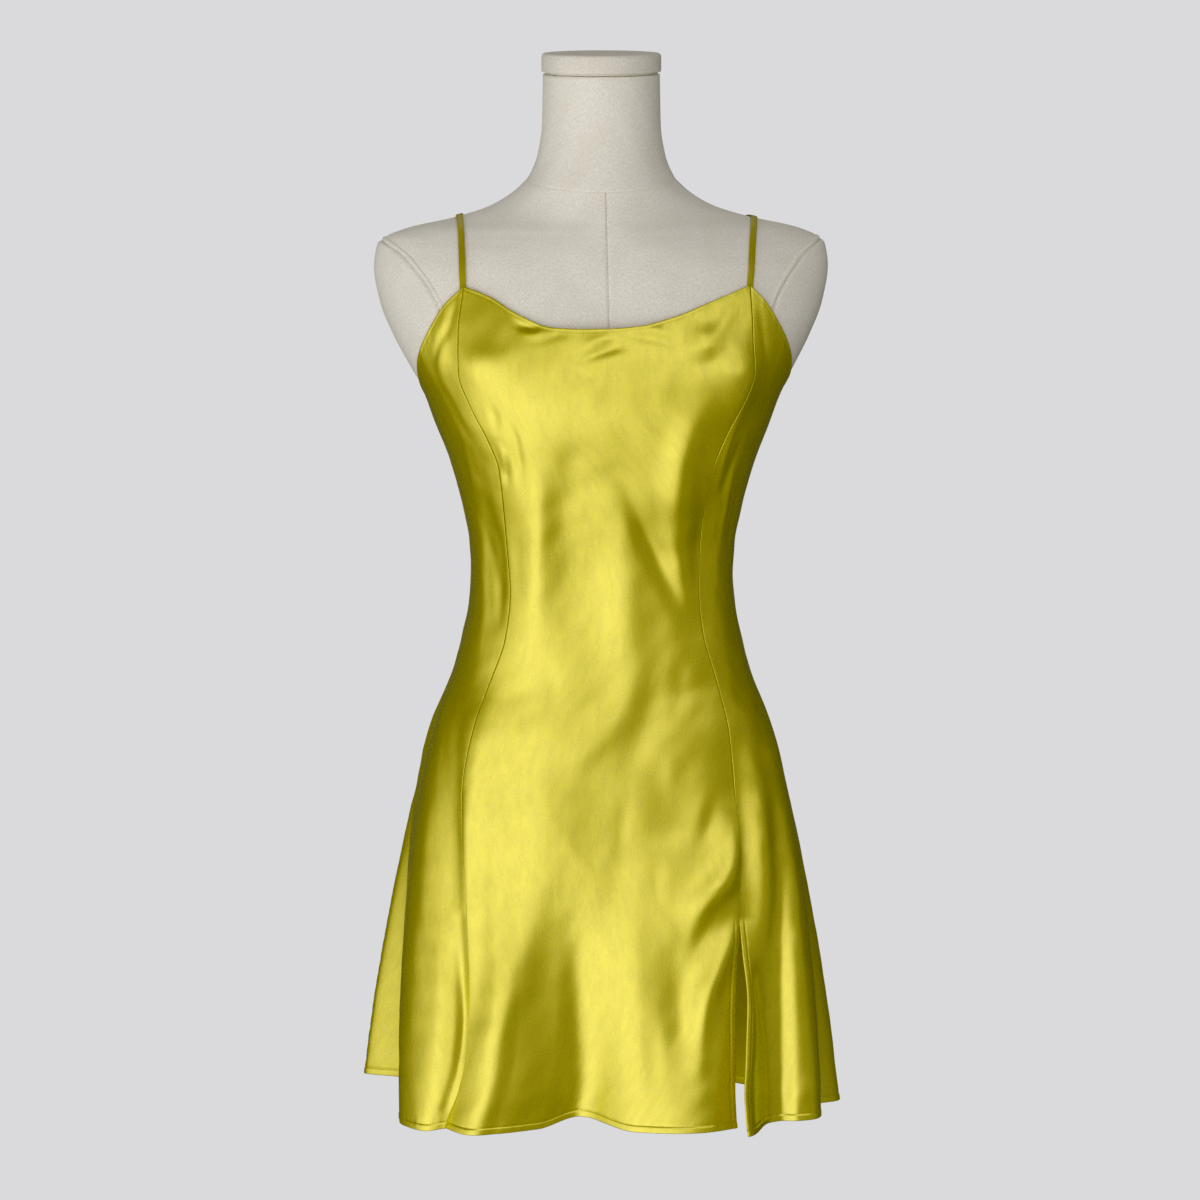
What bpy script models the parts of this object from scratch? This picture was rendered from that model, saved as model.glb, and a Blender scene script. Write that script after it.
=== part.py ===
"""Bias-cut slip dress on a limbless dress form.

Metres, +Z up. The dress faces -Y, +X is on the right of someone who looks at its front.
The origin is on the underside of the base plate, below the form's vertical axis.
"""
from bisect import bisect_right
from collections import namedtuple
from math import cos, exp, hypot, pi, radians, sin

import bpy
from mathutils import Vector

# ---------------------------------------------------------------- driving sizes

CLOTH = 0.0012            # thickness of the cloth wall
CLEARANCE = 0.0020        # air between the cloth and the form
STAND_OFF = CLOTH + CLEARANCE
SEAM_GAP = 0.0004         # between two pieces that are sewn together

FORM_BOTTOM = 0.200       # underside of the torso
NECK_TOP = 0.9355
PIECE_GAP = 0.0003        # between hard pieces that touch
CAP_RADIUS = 0.0533
CAP_BOTTOM = NECK_TOP + PIECE_GAP
CAP_TOP = NECK_TOP + 0.019
CAP_ROUNDING = 0.0025

POLE_RADIUS = 0.0140
STAND_Y = 0.045           # the pole and its plate stand a little behind the axis
BASE_RADIUS = 0.070
BASE_HEIGHT = 0.008
BASE_BEVEL = 0.002
POLE_BOTTOM = BASE_HEIGHT + PIECE_GAP
POLE_TOP = FORM_BOTTOM - PIECE_GAP

STRAP_WIDTH = 0.0055
STRAP_THICKNESS = 0.0012
STRAP_LIFT = 0.0008       # air under a strap where it crosses the shoulder

PANEL_ROWS = 36           # rows of faces from hem to top edge, the same in every panel
PANEL_COLUMNS = {         # about how many columns of faces each panel has
    "front_panel": 20,
    "side_front_left": 9,
    "side_front_right": 10,
    "back_panel": 28,
}
HIP_LINE = 0.395          # above this height the cloth follows the form
FLUTE_CURVE = 1.3         # how softly a flute opens out of the smooth skirt
ARC_SHARE = 0.7           # an arc of the skirt against the same angle of its half width
HALVINGS = 30             # steps of a search by halving
NORMAL_STEP = 0.002       # length of the steps that a normal is taken from

# ---------------------------------------------------------------- short tables

Level = namedtuple("Level", "height half_width front back pinch", defaults=[0.0])
Square = namedtuple("Square", "height power")
Bump = namedtuple("Bump", "x height reach spread_x spread_z")
Edge = namedtuple("Edge", "height left right")
Top = namedtuple("Top", "share height")
Hem = namedtuple("Hem", "share x y low start")
Slit = namedtuple("Slit", "height opening forward")

# The form, section by section: half width, depth in front of its axis, depth behind it, and how
# far the section thins towards the tips of the shoulders (0 is a plain ellipse).
FORM_LEVELS = [
    Level(0.206, 0.1370, 0.1010, 0.1060),
    Level(0.240, 0.1410, 0.1035, 0.1120),
    Level(0.280, 0.1430, 0.1045, 0.1160),
    Level(0.320, 0.1410, 0.1035, 0.1165),
    Level(0.360, 0.1370, 0.1010, 0.1120),
    Level(0.400, 0.1310, 0.0975, 0.1030),
    Level(0.436, 0.1215, 0.0960, 0.0920),
    Level(0.463, 0.1160, 0.0950, 0.0845),
    Level(0.490, 0.1142, 0.0945, 0.0800),
    Level(0.518, 0.1155, 0.0950, 0.0790),
    Level(0.545, 0.1203, 0.0965, 0.0810),
    Level(0.572, 0.1270, 0.0990, 0.0855),
    Level(0.599, 0.1353, 0.1020, 0.0905),
    Level(0.626, 0.1460, 0.1045, 0.0950),
    Level(0.653, 0.1562, 0.1060, 0.0985),
    Level(0.680, 0.1715, 0.1055, 0.1010),
    Level(0.707, 0.1857, 0.1030, 0.1020),
    Level(0.734, 0.1963, 0.0980, 0.1010),
    Level(0.765, 0.2015, 0.0905, 0.0965, 0.05),
    Level(0.783, 0.1990, 0.0850, 0.0920, 0.25),
    Level(0.791, 0.1930, 0.0820, 0.0890, 0.40),
    Level(0.799, 0.1740, 0.0790, 0.0850, 0.50),
    Level(0.808, 0.1330, 0.0750, 0.0800, 0.50),
    Level(0.818, 0.1010, 0.0710, 0.0755, 0.40),
    Level(0.828, 0.0830, 0.0675, 0.0715, 0.25),
    Level(0.837, 0.0720, 0.0650, 0.0680, 0.10),
    Level(0.846, 0.0642, 0.0620, 0.0640),
    Level(0.864, 0.0570, 0.0570, 0.0580),
    Level(0.890, 0.0530, 0.0530, 0.0530),
    Level(NECK_TOP, 0.0520, 0.0520, 0.0520),
]

# The skirt below the hip line, without its flutes.
SKIRT_LEVELS = [
    Level(0.000, 0.2150, 0.1400, 0.1400),
    Level(0.070, 0.2085, 0.1350, 0.1380),
    Level(0.130, 0.2010, 0.1300, 0.1350),
    Level(0.190, 0.1915, 0.1240, 0.1320),
    Level(0.250, 0.1805, 0.1180, 0.1290),
    Level(0.300, 0.1690, 0.1125, 0.1260),
    Level(0.354, 0.1535, 0.1070, 0.1185),
]

# How square the front of a section is: 2 is half an ellipse, more is flatter in front with fuller
# corners, as where cloth is stretched from cup to cup.
FRONT_SQUARE = [
    Square(0.000, 2.0),
    Square(0.200, 2.2),
    Square(0.320, 2.6),
    Square(0.430, 2.9),
    Square(0.540, 3.0),
    Square(0.650, 2.9),
    Square(0.710, 2.4),
    Square(0.765, 2.0),
]

# Fullness of the bust, on the form and in the cups; the cloth also bridges from cup to cup.
FORM_BUMPS = [
    Bump(-0.094, 0.640, 0.024, 0.062, 0.070),
    Bump(0.094, 0.640, 0.024, 0.062, 0.070),
]
CLOTH_BUMPS = FORM_BUMPS + [
    Bump(0.000, 0.650, 0.008, 0.040, 0.050),
]

# Where the two front princess seams lie across the front, in x.
FRONT_SEAMS = [
    Edge(0.000, -0.1520, 0.1210),
    Edge(0.015, -0.1476, 0.1195),
    Edge(0.040, -0.1378, 0.1180),
    Edge(0.070, -0.1310, 0.1175),
    Edge(0.110, -0.1268, 0.1168),
    Edge(0.150, -0.1252, 0.1171),
    Edge(0.210, -0.1250, 0.1181),
    Edge(0.260, -0.1272, 0.1175),
    Edge(0.305, -0.1260, 0.1142),
    Edge(0.354, -0.1176, 0.1092),
    Edge(0.401, -0.1032, 0.0977),
    Edge(0.443, -0.0898, 0.0864),
    Edge(0.481, -0.0856, 0.0831),
    Edge(0.520, -0.0886, 0.0835),
    Edge(0.594, -0.0967, 0.0922),
    Edge(0.621, -0.1073, 0.1026),
    Edge(0.650, -0.1218, 0.1150),
    Edge(0.679, -0.1314, 0.1265),
    Edge(0.713, -0.1313, 0.1281),
    Edge(0.754, -0.1265, 0.1265),
]

# Top edges, by the share of the way across each panel.
NECKLINE = [
    Top(0.00, 0.7540),
    Top(0.10, 0.7460),
    Top(0.20, 0.7320),
    Top(0.32, 0.7200),
    Top(0.42, 0.7182),
    Top(0.50, 0.7183),
    Top(0.60, 0.7203),
    Top(0.72, 0.7285),
    Top(0.86, 0.7420),
    Top(1.00, 0.7540),
]
ARMHOLE = [
    Top(0.00, 0.7540),
    Top(0.10, 0.7380),
    Top(0.17, 0.7230),
    Top(0.26, 0.7075),
    Top(0.36, 0.6930),
    Top(0.48, 0.6790),
    Top(0.62, 0.6675),
    Top(1.00, 0.6550),
]
BACK_EDGE = [
    Top(0.00, 0.6550),
    Top(0.24, 0.6640),
    Top(0.50, 0.6560),
    Top(0.76, 0.6640),
    Top(1.00, 0.6550),
]

# The hem of each panel, from its left edge to its right edge seen from outside: every ridge and
# valley of the flutes, where it hangs (x, y), how low, and the height where that flute begins.
LEFT_SEAM_HEM = Hem(0.0, -0.146, -0.098, 0.0065, 0.30)
RIGHT_SEAM_HEM = Hem(1.0, 0.114, -0.126, 0.0045, 0.32)
LEFT_SIDE_HEM = Hem(0.0, -0.1855, -0.086, 0.0060, 0.42)
RIGHT_SIDE_HEM = Hem(0.0, 0.180, -0.045, 0.0065, 0.42)

FRONT_HEM = [
    LEFT_SEAM_HEM,
    Hem(0.14, -0.119, -0.149, 0.0045, 0.34),
    Hem(0.32, -0.064, -0.118, 0.0050, 0.28),
    Hem(0.46, -0.026, -0.090, 0.0130, 0.24),
    Hem(0.62, 0.022, -0.143, 0.0050, 0.30),
    Hem(0.86, 0.084, -0.148, 0.0045, 0.34),
    RIGHT_SEAM_HEM,
]
SIDE_LEFT_HEM = [
    LEFT_SIDE_HEM._replace(share=0.0),
    Hem(0.38, -0.181, -0.104, 0.0050, 0.40),
    Hem(0.72, -0.166, -0.113, 0.0045, 0.34),
    LEFT_SEAM_HEM._replace(share=1.0),
]
SIDE_RIGHT_HEM = [
    RIGHT_SEAM_HEM._replace(share=0.0),
    Hem(0.30, 0.153, -0.103, 0.0050, 0.34),
    Hem(0.46, 0.171, -0.103, 0.0050, 0.36),
    Hem(0.66, 0.190, -0.092, 0.0050, 0.40),
    RIGHT_SIDE_HEM._replace(share=1.0),
]
BACK_HEM = [
    RIGHT_SIDE_HEM._replace(share=0.0),
    Hem(0.08, 0.216, -0.012, 0.0045, 0.44),
    Hem(0.24, 0.132, 0.056, 0.0050, 0.20),
    Hem(0.37, 0.066, 0.156, 0.0060, 0.30),
    Hem(0.50, -0.005, 0.130, 0.0080, 0.20),
    Hem(0.62, -0.078, 0.160, 0.0060, 0.30),
    Hem(0.72, -0.132, 0.122, 0.0080, 0.22),
    Hem(0.88, -0.213, 0.116, 0.0070, 0.46),
    Hem(0.93, -0.170, 0.076, 0.0085, 0.42),
    Hem(0.96, -0.179, 0.022, 0.0065, 0.40),
    Hem(0.978, -0.174, -0.028, 0.0080, 0.34),
    Hem(0.993, -0.1862, -0.076, 0.0060, 0.42),
    LEFT_SIDE_HEM._replace(share=1.0),
]

# The slit in the right front seam: how far it gapes, and how far its side panel kicks forward.
SLIT = [
    Slit(0.000, 0.0060, 0.0380),
    Slit(0.035, 0.0050, 0.0290),
    Slit(0.070, 0.0070, 0.0200),
    Slit(0.120, 0.0090, 0.0100),
    Slit(0.155, 0.0050, 0.0035),
    Slit(0.190, 0.0000, 0.0000),
]
SLIT_REACH = 0.28         # share of the side panel's hem that the kick reaches

Strap = namedtuple("Strap", "front_x shoulder_x back_x")
STRAPS = {
    "strap_left": Strap(-0.1265, -0.1270, -0.1080),
    "strap_right": Strap(0.1265, 0.1365, 0.1080),
}
STRAP_FRONT_END = 0.7546  # just above the strap points
STRAP_BACK_END = 0.6646   # just above the back edge
STRAP_FRONT_STEPS = 14
STRAP_BACK_STEPS = 20
SHOULDER_LEVEL = 0.765    # where the form is widest


# ---------------------------------------------------------------- curves and sections

def table_curve(keys, values):
    """A smooth curve through a table's column that never overshoots its rows."""
    steps = [(v1 - v0) / (k1 - k0) for k0, k1, v0, v1 in zip(keys, keys[1:], values, values[1:])]
    slopes = [steps[0]]
    for before, after in zip(steps, steps[1:]):
        slopes.append(2 * before * after / (before + after) if before * after > 0 else 0.0)
    slopes.append(steps[-1])

    def value(key):
        key = min(max(key, keys[0]), keys[-1])
        i = min(bisect_right(keys, key), len(keys) - 1) - 1
        width = keys[i + 1] - keys[i]
        t = (key - keys[i]) / width
        rise = values[i + 1] - values[i]
        a = slopes[i] * width - rise
        b = rise - slopes[i + 1] * width
        return values[i] + rise * t + t * (1 - t) * (a * (1 - t) + b * t)

    return value


def column_curve(rows, column):
    """The curve of one named column over the table's first column."""
    return table_curve([row[0] for row in rows], [getattr(row, column) for row in rows])


def grown(level, by):
    return Level(level.height, level.half_width + by, level.front + by, level.back + by, level.pinch)


class Body:
    """A tall body given by its sections: half an ellipse behind its axis, a squarer one in front."""

    def __init__(self, levels, bumps):
        self.half_width = column_curve(levels, "half_width")
        self.front = column_curve(levels, "front")
        self.back = column_curve(levels, "back")
        self.pinch = column_curve(levels, "pinch")
        self.power = column_curve(FRONT_SQUARE, "power")
        self.bumps = bumps

    def point(self, angle, height):
        """Angle 0 is centre front, +90 degrees the right side, 180 degrees centre back."""
        wide = self.half_width(height)
        deep = self.front(height) if cos(angle) > 0 else self.back(height)
        wide *= 1 - self.pinch(height) * cos(angle) ** 2
        place = Vector((wide * sin(angle), -deep * cos(angle), height))
        if cos(angle) > 0:
            power = self.power(height)
            fuller = (abs(sin(angle)) ** power + cos(angle) ** power) ** (-1 / power)
            place.x *= fuller
            place.y *= fuller
            for bump in self.bumps:
                across = (place.x - bump.x) / bump.spread_x
                along = (height - bump.height) / bump.spread_z
                place.y -= bump.reach * cos(angle) * exp(-(across * across + along * along) / 2)
        return place

    def angle_at(self, x, height, behind=False):
        """Angle where a section passes x, in front of the axis or behind it, found by halving."""
        low, high = 0.0, pi / 2
        for _ in range(HALVINGS):
            middle = (low + high) / 2
            if self.point(pi - middle if behind else middle, height).x < abs(x):
                low = middle
            else:
                high = middle
        angle = pi - low if behind else low
        return angle if x > 0 else -angle

    def normal(self, angle, height):
        """Outward normal, from two short steps along the surface."""
        step = NORMAL_STEP
        around = self.point(angle + step, height) - self.point(angle - step, height)
        up = self.point(angle, height + step) - self.point(angle, height - step)
        return around.cross(up).normalized()


form = Body(FORM_LEVELS, FORM_BUMPS)
dress = Body(
    SKIRT_LEVELS + [grown(level, STAND_OFF) for level in FORM_LEVELS if level.height > HIP_LINE],
    CLOTH_BUMPS,
)


# ---------------------------------------------------------------- scene helpers

for old in list(bpy.data.objects):
    bpy.data.objects.remove(old, do_unlink=True)

collection = bpy.data.collections.new("slip_dress_on_form")
bpy.context.scene.collection.children.link(collection)


def material(name, colour, roughness, metallic=0.0):
    made = bpy.data.materials.new(name)
    made.use_nodes = True
    shader = made.node_tree.nodes["Principled BSDF"]
    shader.inputs["Base Color"].default_value = (*colour, 1.0)
    shader.inputs["Roughness"].default_value = roughness
    shader.inputs["Metallic"].default_value = metallic
    return made


satin = material("yellow_satin", (0.62, 0.55, 0.06), 0.35)
strap_satin = material("strap_satin", (0.30, 0.25, 0.02), 0.45)
linen = material("grey_linen", (0.60, 0.57, 0.50), 0.9)
cap_linen = material("cap_linen", (0.62, 0.58, 0.52), 0.85)
steel = material("painted_steel", (0.75, 0.75, 0.73), 0.4, 0.2)


def add_mesh(name, points, faces, finish, smooth=True):
    mesh = bpy.data.meshes.new(name)
    mesh.from_pydata(points, [], faces)
    mesh.validate()
    if smooth:
        mesh.shade_smooth()
    mesh.materials.append(finish)
    made = bpy.data.objects.new(name, mesh)
    collection.objects.link(made)
    return made


def grid_faces(columns, rows):
    """Faces of a grid stored column by column, counter-clockwise from outside."""
    faces = []
    for i in range(columns):
        for j in range(rows):
            low = i * (rows + 1) + j
            faces.append((low, low + rows + 1, low + rows + 2, low + 1))
    return faces


def thicken(piece, thickness):
    """Give an open sheet its wall, on its inner side."""
    wall = piece.modifiers.new("wall", "SOLIDIFY")
    wall.thickness = thickness
    wall.offset = -1.0
    wall.use_even_offset = True
    return piece


# ---------------------------------------------------------------- dress panels

def seam_angle(side):
    """Angle of a front princess seam at any height, from where it lies in x."""
    across = column_curve(FRONT_SEAMS, side)
    return lambda height: dress.angle_at(across(height), height)


def side_angle(angle):
    return lambda height: angle


left_seam = seam_angle("left")
right_seam = seam_angle("right")
slit_opening = column_curve(SLIT, "opening")
slit_forward = column_curve(SLIT, "forward")


class HemLine:
    """A panel's hem as smooth curves over its own length."""

    def __init__(self, rows, left, right):
        run = [0.0]
        for before, after in zip(rows, rows[1:]):
            run.append(run[-1] + hypot(after.x - before.x, after.y - before.y))
        run = [length / run[-1] for length in run]
        self.rows = run
        self.share = table_curve(run, [row.share for row in rows])
        self.low = table_curve(run, [row.low for row in rows])
        self.start = table_curve(run, [row.start for row in rows])
        away = []
        for row in rows:
            angle = left(row.low) + (right(row.low) - left(row.low)) * row.share
            away.append(Vector((row.x, row.y, row.low)) - dress.point(angle, row.low))
        self.away_x = table_curve(run, [offset.x for offset in away])
        self.away_y = table_curve(run, [offset.y for offset in away])

    def columns(self, spacing):
        """Places of a panel's columns: one on every ridge and valley, the others evenly between."""
        places = [0.0]
        for before, after in zip(self.rows, self.rows[1:]):
            steps = max(2, round((after - before) / spacing))
            places += [before + (after - before) * i / steps for i in range(1, steps + 1)]
        return places


def panel_points(hem, left, right, top, columns, slit_edge=False):
    """Outer face of a panel: columns from its left edge to its right edge, rows from the hem up."""
    points = []
    for run in columns:
        share = hem.share(run)
        low = hem.low(run)
        start = hem.start(run)
        away = Vector((hem.away_x(run), hem.away_y(run), 0.0))
        inset = 0
        if run == columns[0]:
            inset = 1
        elif run == columns[-1]:
            inset = -1
        for j in range(PANEL_ROWS + 1):
            height = low + (top(share) - low) * j / PANEL_ROWS
            angle = left(height) + (right(height) - left(height)) * share
            angle += inset * SEAM_GAP / 2 / (ARC_SHARE * dress.half_width(height))
            place = dress.point(angle, height)
            if height < start:
                place += away * ((start - height) / (start - low)) ** FLUTE_CURVE
            if slit_edge:
                kick = (1 + cos(pi * min(1.0, run / SLIT_REACH))) / 2
                place.x += slit_opening(height) * kick
                place.y -= slit_forward(height) * kick
            points.append(place)
    return points


def add_panel(name, hem_rows, left, right, top_rows, slit_edge=False):
    hem = HemLine(hem_rows, left, right)
    top = column_curve(top_rows, "height")
    places = hem.columns(1.0 / PANEL_COLUMNS[name])
    points = panel_points(hem, left, right, top, places, slit_edge)
    piece = add_mesh(name, points, grid_faces(len(places) - 1, PANEL_ROWS), satin)
    return thicken(piece, CLOTH)


def add_panels():
    left_side = side_angle(-pi / 2)
    right_side = side_angle(pi / 2)
    far_left_side = side_angle(3 * pi / 2)
    add_panel("front_panel", FRONT_HEM, left_seam, right_seam, NECKLINE)
    add_panel("side_front_left", SIDE_LEFT_HEM, left_side, left_seam, armhole_left())
    add_panel("side_front_right", SIDE_RIGHT_HEM, right_seam, right_side, ARMHOLE, slit_edge=True)
    add_panel("back_panel", BACK_HEM, right_side, far_left_side, BACK_EDGE)


def armhole_left():
    """The armhole again, read from the side seam towards the front."""
    return [Top(1.0 - row.share, row.height) for row in reversed(ARMHOLE)]


# ---------------------------------------------------------------- straps

def shoulder_ridge(x):
    """Height at which the shoulder's outline passes x, found by halving."""
    low, high = SHOULDER_LEVEL, NECK_TOP
    for _ in range(HALVINGS):
        middle = (low + high) / 2
        if form.half_width(middle) > abs(x):
            low = middle
        else:
            high = middle
    return low


def strap_point(x, ridge, end, run, behind):
    """A point of the form under the strap; run 0 is the strap's end, run 1 the shoulder ridge."""
    height = ridge - (ridge - end) * (1 - run) ** 2
    angle = form.angle_at(x, height, behind)
    lift = STRAP_LIFT + (CLEARANCE - STRAP_LIFT) * (1 - run) ** 2
    return form.point(angle, height) + form.normal(angle, height) * lift


def add_strap(name, strap):
    """A flat ribbon from the strap point, over the shoulder, to the back edge."""
    points = []
    for shift in (-STRAP_WIDTH / 2, 0.0, STRAP_WIDTH / 2):
        ridge = shoulder_ridge(strap.shoulder_x + shift)
        column = []
        for j in range(STRAP_FRONT_STEPS):
            run = j / STRAP_FRONT_STEPS
            x = strap.front_x + (strap.shoulder_x - strap.front_x) * run + shift
            column.append(strap_point(x, ridge, STRAP_FRONT_END, run, False))
        for j in range(STRAP_BACK_STEPS + 1):
            run = 1 - j / STRAP_BACK_STEPS
            x = strap.back_x + (strap.shoulder_x - strap.back_x) * run + shift
            column.append(strap_point(x, ridge, STRAP_BACK_END, run, True))
        points += column
    rows = STRAP_FRONT_STEPS + STRAP_BACK_STEPS
    piece = add_mesh(name, points, grid_faces(2, rows), strap_satin)
    wall = thicken(piece, STRAP_THICKNESS)
    wall.modifiers["wall"].offset = 1.0


# ---------------------------------------------------------------- dress form

TORSO_COLUMNS = 40
DISC_SIDES = 48
POLE_SIDES = 24
RIM_STEPS = 3
RIM_ANGLE = radians(40)   # edges sharper than this are softened
TORSO_HEIGHTS = [FORM_BOTTOM, 0.203, 0.210, 0.230]
TORSO_HEIGHTS += [0.260 + 0.030 * i for i in range(17)]
TORSO_HEIGHTS += [0.755, 0.770, 0.780, 0.788, 0.794, 0.799, 0.804, 0.809, 0.815, 0.822, 0.830]
TORSO_HEIGHTS += [0.840, 0.852, 0.868, 0.890, 0.912, NECK_TOP]
BOTTOM_ROUNDING = 0.975


def add_torso():
    """The torso, lofted through its sections and closed flat at the neck and below the hips."""
    points = []
    for height in TORSO_HEIGHTS:
        for i in range(TORSO_COLUMNS):
            place = form.point(2 * pi * i / TORSO_COLUMNS, height)
            if height == FORM_BOTTOM:
                place.x *= BOTTOM_ROUNDING
                place.y *= BOTTOM_ROUNDING
            points.append(place)
    faces = []
    for j in range(len(TORSO_HEIGHTS) - 1):
        for i in range(TORSO_COLUMNS):
            here = j * TORSO_COLUMNS + i
            beside = j * TORSO_COLUMNS + (i + 1) % TORSO_COLUMNS
            faces.append((here, beside, beside + TORSO_COLUMNS, here + TORSO_COLUMNS))
    last_ring = (len(TORSO_HEIGHTS) - 1) * TORSO_COLUMNS
    faces.append(tuple(reversed(range(TORSO_COLUMNS))))
    faces.append(tuple(range(last_ring, last_ring + TORSO_COLUMNS)))
    add_mesh("form_torso", points, faces, linen)


def add_disc(name, radius, bottom, top, y, finish, sides, rounding=0.0):
    """A round upright piece, with softened rims where a rounding is given."""
    bpy.ops.mesh.primitive_cylinder_add(
        vertices=sides, radius=radius, depth=top - bottom, location=(0.0, y, (top + bottom) / 2)
    )
    piece = bpy.context.object
    piece.name = name
    piece.data.name = name
    for holder in list(piece.users_collection):
        holder.objects.unlink(piece)
    collection.objects.link(piece)
    piece.data.materials.append(finish)
    if rounding:
        rim = piece.modifiers.new("rim", "BEVEL")
        rim.width = rounding
        rim.segments = RIM_STEPS
        rim.limit_method = "ANGLE"
        rim.angle_limit = RIM_ANGLE
    return piece


add_panels()
for strap_name, strap_route in STRAPS.items():
    add_strap(strap_name, strap_route)
add_torso()
add_disc("neck_cap", CAP_RADIUS, CAP_BOTTOM, CAP_TOP, 0.0, cap_linen, DISC_SIDES, CAP_ROUNDING)
add_disc("form_pole", POLE_RADIUS, POLE_BOTTOM, POLE_TOP, STAND_Y, steel, POLE_SIDES)
add_disc("form_base", BASE_RADIUS, 0.0, BASE_HEIGHT, STAND_Y, steel, DISC_SIDES, BASE_BEVEL)
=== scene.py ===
# %% [markdown]
# # A satin slip dress on a linen dress form
#
# The dress is five kinds of thing: a front panel, two side fronts, a back and two narrow straps, cut from one
# bright yellow satin. The form under it is a padded torso covered in linen, with a round cap on its neck, two
# plates where arms would start, and a short steel stand.
#
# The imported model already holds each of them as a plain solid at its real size. This script keeps those
# places and makes what the eye meets: thin cloth with its folds, turned and stitched edges, woven finishes
# and light.

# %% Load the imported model
from collections import namedtuple
from math import cos, hypot, pi, radians, sin

import bpy
import numpy as np
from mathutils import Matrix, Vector


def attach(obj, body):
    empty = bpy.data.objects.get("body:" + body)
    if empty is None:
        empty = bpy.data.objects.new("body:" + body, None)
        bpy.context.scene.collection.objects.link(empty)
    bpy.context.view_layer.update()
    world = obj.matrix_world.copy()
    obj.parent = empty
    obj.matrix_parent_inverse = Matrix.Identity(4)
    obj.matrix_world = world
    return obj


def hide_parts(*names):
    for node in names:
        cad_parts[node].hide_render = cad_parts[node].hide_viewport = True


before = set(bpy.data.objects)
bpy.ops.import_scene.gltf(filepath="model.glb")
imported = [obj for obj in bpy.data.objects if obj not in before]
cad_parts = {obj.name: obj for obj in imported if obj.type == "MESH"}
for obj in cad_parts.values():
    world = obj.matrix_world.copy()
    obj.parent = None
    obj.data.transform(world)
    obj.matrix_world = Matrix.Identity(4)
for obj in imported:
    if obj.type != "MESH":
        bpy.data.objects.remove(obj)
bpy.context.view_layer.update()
MM = 0.001                 # one millimetre, in the model's metres
print("nodes:", ", ".join(sorted(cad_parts)))

# %% [markdown]
# ## The camera
#
# A dress is best seen from far away through a long lens, so that its sides stay upright. The camera stands
# 5.5 m in front, a little to the left, and looks down by about eight degrees: enough to see the top of the
# neck cap as a thin ellipse. A single look direction, written with its turn and tilt, is easier to read and
# to change than a rotation matrix.

# %% Camera
CAMERA_DISTANCE = 5.5
CAMERA_HEIGHT = 1.2147
CAMERA_TURN = radians(-3.5)
CAMERA_TILT = radians(7.78)
CAMERA_SHIFT = 0.0012      # sideways, so that the form's axis sits just right of the middle
FOCAL_LENGTH = 185.0       # millimetres
SENSOR_WIDTH = 36.0        # millimetres
FARTHEST = 100.0           # metres, past the studio's wall

camera = bpy.data.objects.new("camera", bpy.data.cameras.new("camera"))
bpy.context.scene.collection.objects.link(camera)
camera.data.lens = FOCAL_LENGTH
camera.data.sensor_width = SENSOR_WIDTH
camera.data.clip_end = FARTHEST
look = Vector((-sin(CAMERA_TURN) * cos(CAMERA_TILT), cos(CAMERA_TURN) * cos(CAMERA_TILT), -sin(CAMERA_TILT)))
camera.location = (
    sin(CAMERA_TURN) * CAMERA_DISTANCE - cos(CAMERA_TURN) * CAMERA_SHIFT,
    -cos(CAMERA_TURN) * CAMERA_DISTANCE - sin(CAMERA_TURN) * CAMERA_SHIFT,
    CAMERA_HEIGHT,
)
camera.rotation_euler = look.to_track_quat("-Z", "Y").to_euler()
bpy.context.scene.camera = camera
print("camera at", [round(v, 3) for v in camera.location])

# %% [markdown]
# ## The print
#
# Strong yellow lies at the edge of what a screen can show, and a printed picture lets its weak blue fall
# away altogether in the shade: shaded satin turns deep gold, while lit satin stays a pale lemon. The plain
# Standard transform with a toe on its blue curve does the same. Greys lie far above the toe and keep their
# colour.

# %% Blue toe
BLUE_CURVE = 2             # the view's curves are red, green, blue and all three
BLUE_TOE = [(0.0, 0.0), (0.02, 0.002), (0.05, 0.022), (0.09, 0.065), (0.14, 0.122), (0.22, 0.212), (1.0, 1.0)]

view = bpy.context.scene.view_settings
view.view_transform = "Standard"
view.use_curve_mapping = True
toe = view.curve_mapping.curves[BLUE_CURVE]
while len(toe.points) > 2:
    toe.points.remove(toe.points[1])
for before, after in BLUE_TOE[1:-1]:
    toe.points.new(before, after)
view.curve_mapping.update()
print("points on the blue curve:", len(toe.points))

# %% [markdown]
# ## Colours and nodes
#
# A few helpers serve every material. `colour` turns the hex code that a paint card or a dye swatch would give
# into the linear numbers that Blender renders with. `add_node` adds one node with its settings, values and
# links, so that a material reads as a short list of what goes into what; a node in a link stands for its
# first output, and the stops of a colour ramp are pairs of a place and a hex code. All materials start with
# `new_material` and end with `end_material`.

# %% Helpers for materials
def colour(code):
    """Linear RGBA of an sRGB hex code such as #c9c5b9."""
    parts = [int(code[i:i + 2], 16) / 255 for i in (1, 3, 5)]
    linear = [p / 12.92 if p <= 0.04045 else ((p + 0.055) / 1.055) ** 2.4 for p in parts]
    return (*linear, 1.0)


def add_node(tree, kind, values=None, links=None, stops=(), **settings):
    """A node with its settings, the values of its inputs, and the nodes or outputs that feed them."""
    node = tree.nodes.new(kind)
    for name, setting in settings.items():
        setattr(node, name, setting)
    for name, value in (values or {}).items():
        node.inputs[name].default_value = value
    for name, source in (links or {}).items():
        if isinstance(source, bpy.types.Node):
            source = source.outputs[0]
        tree.links.new(source, node.inputs[name])
    for i, (position, code) in enumerate(stops):
        node.color_ramp.elements[i].position = position
        node.color_ramp.elements[i].color = colour(code)
    return node


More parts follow.
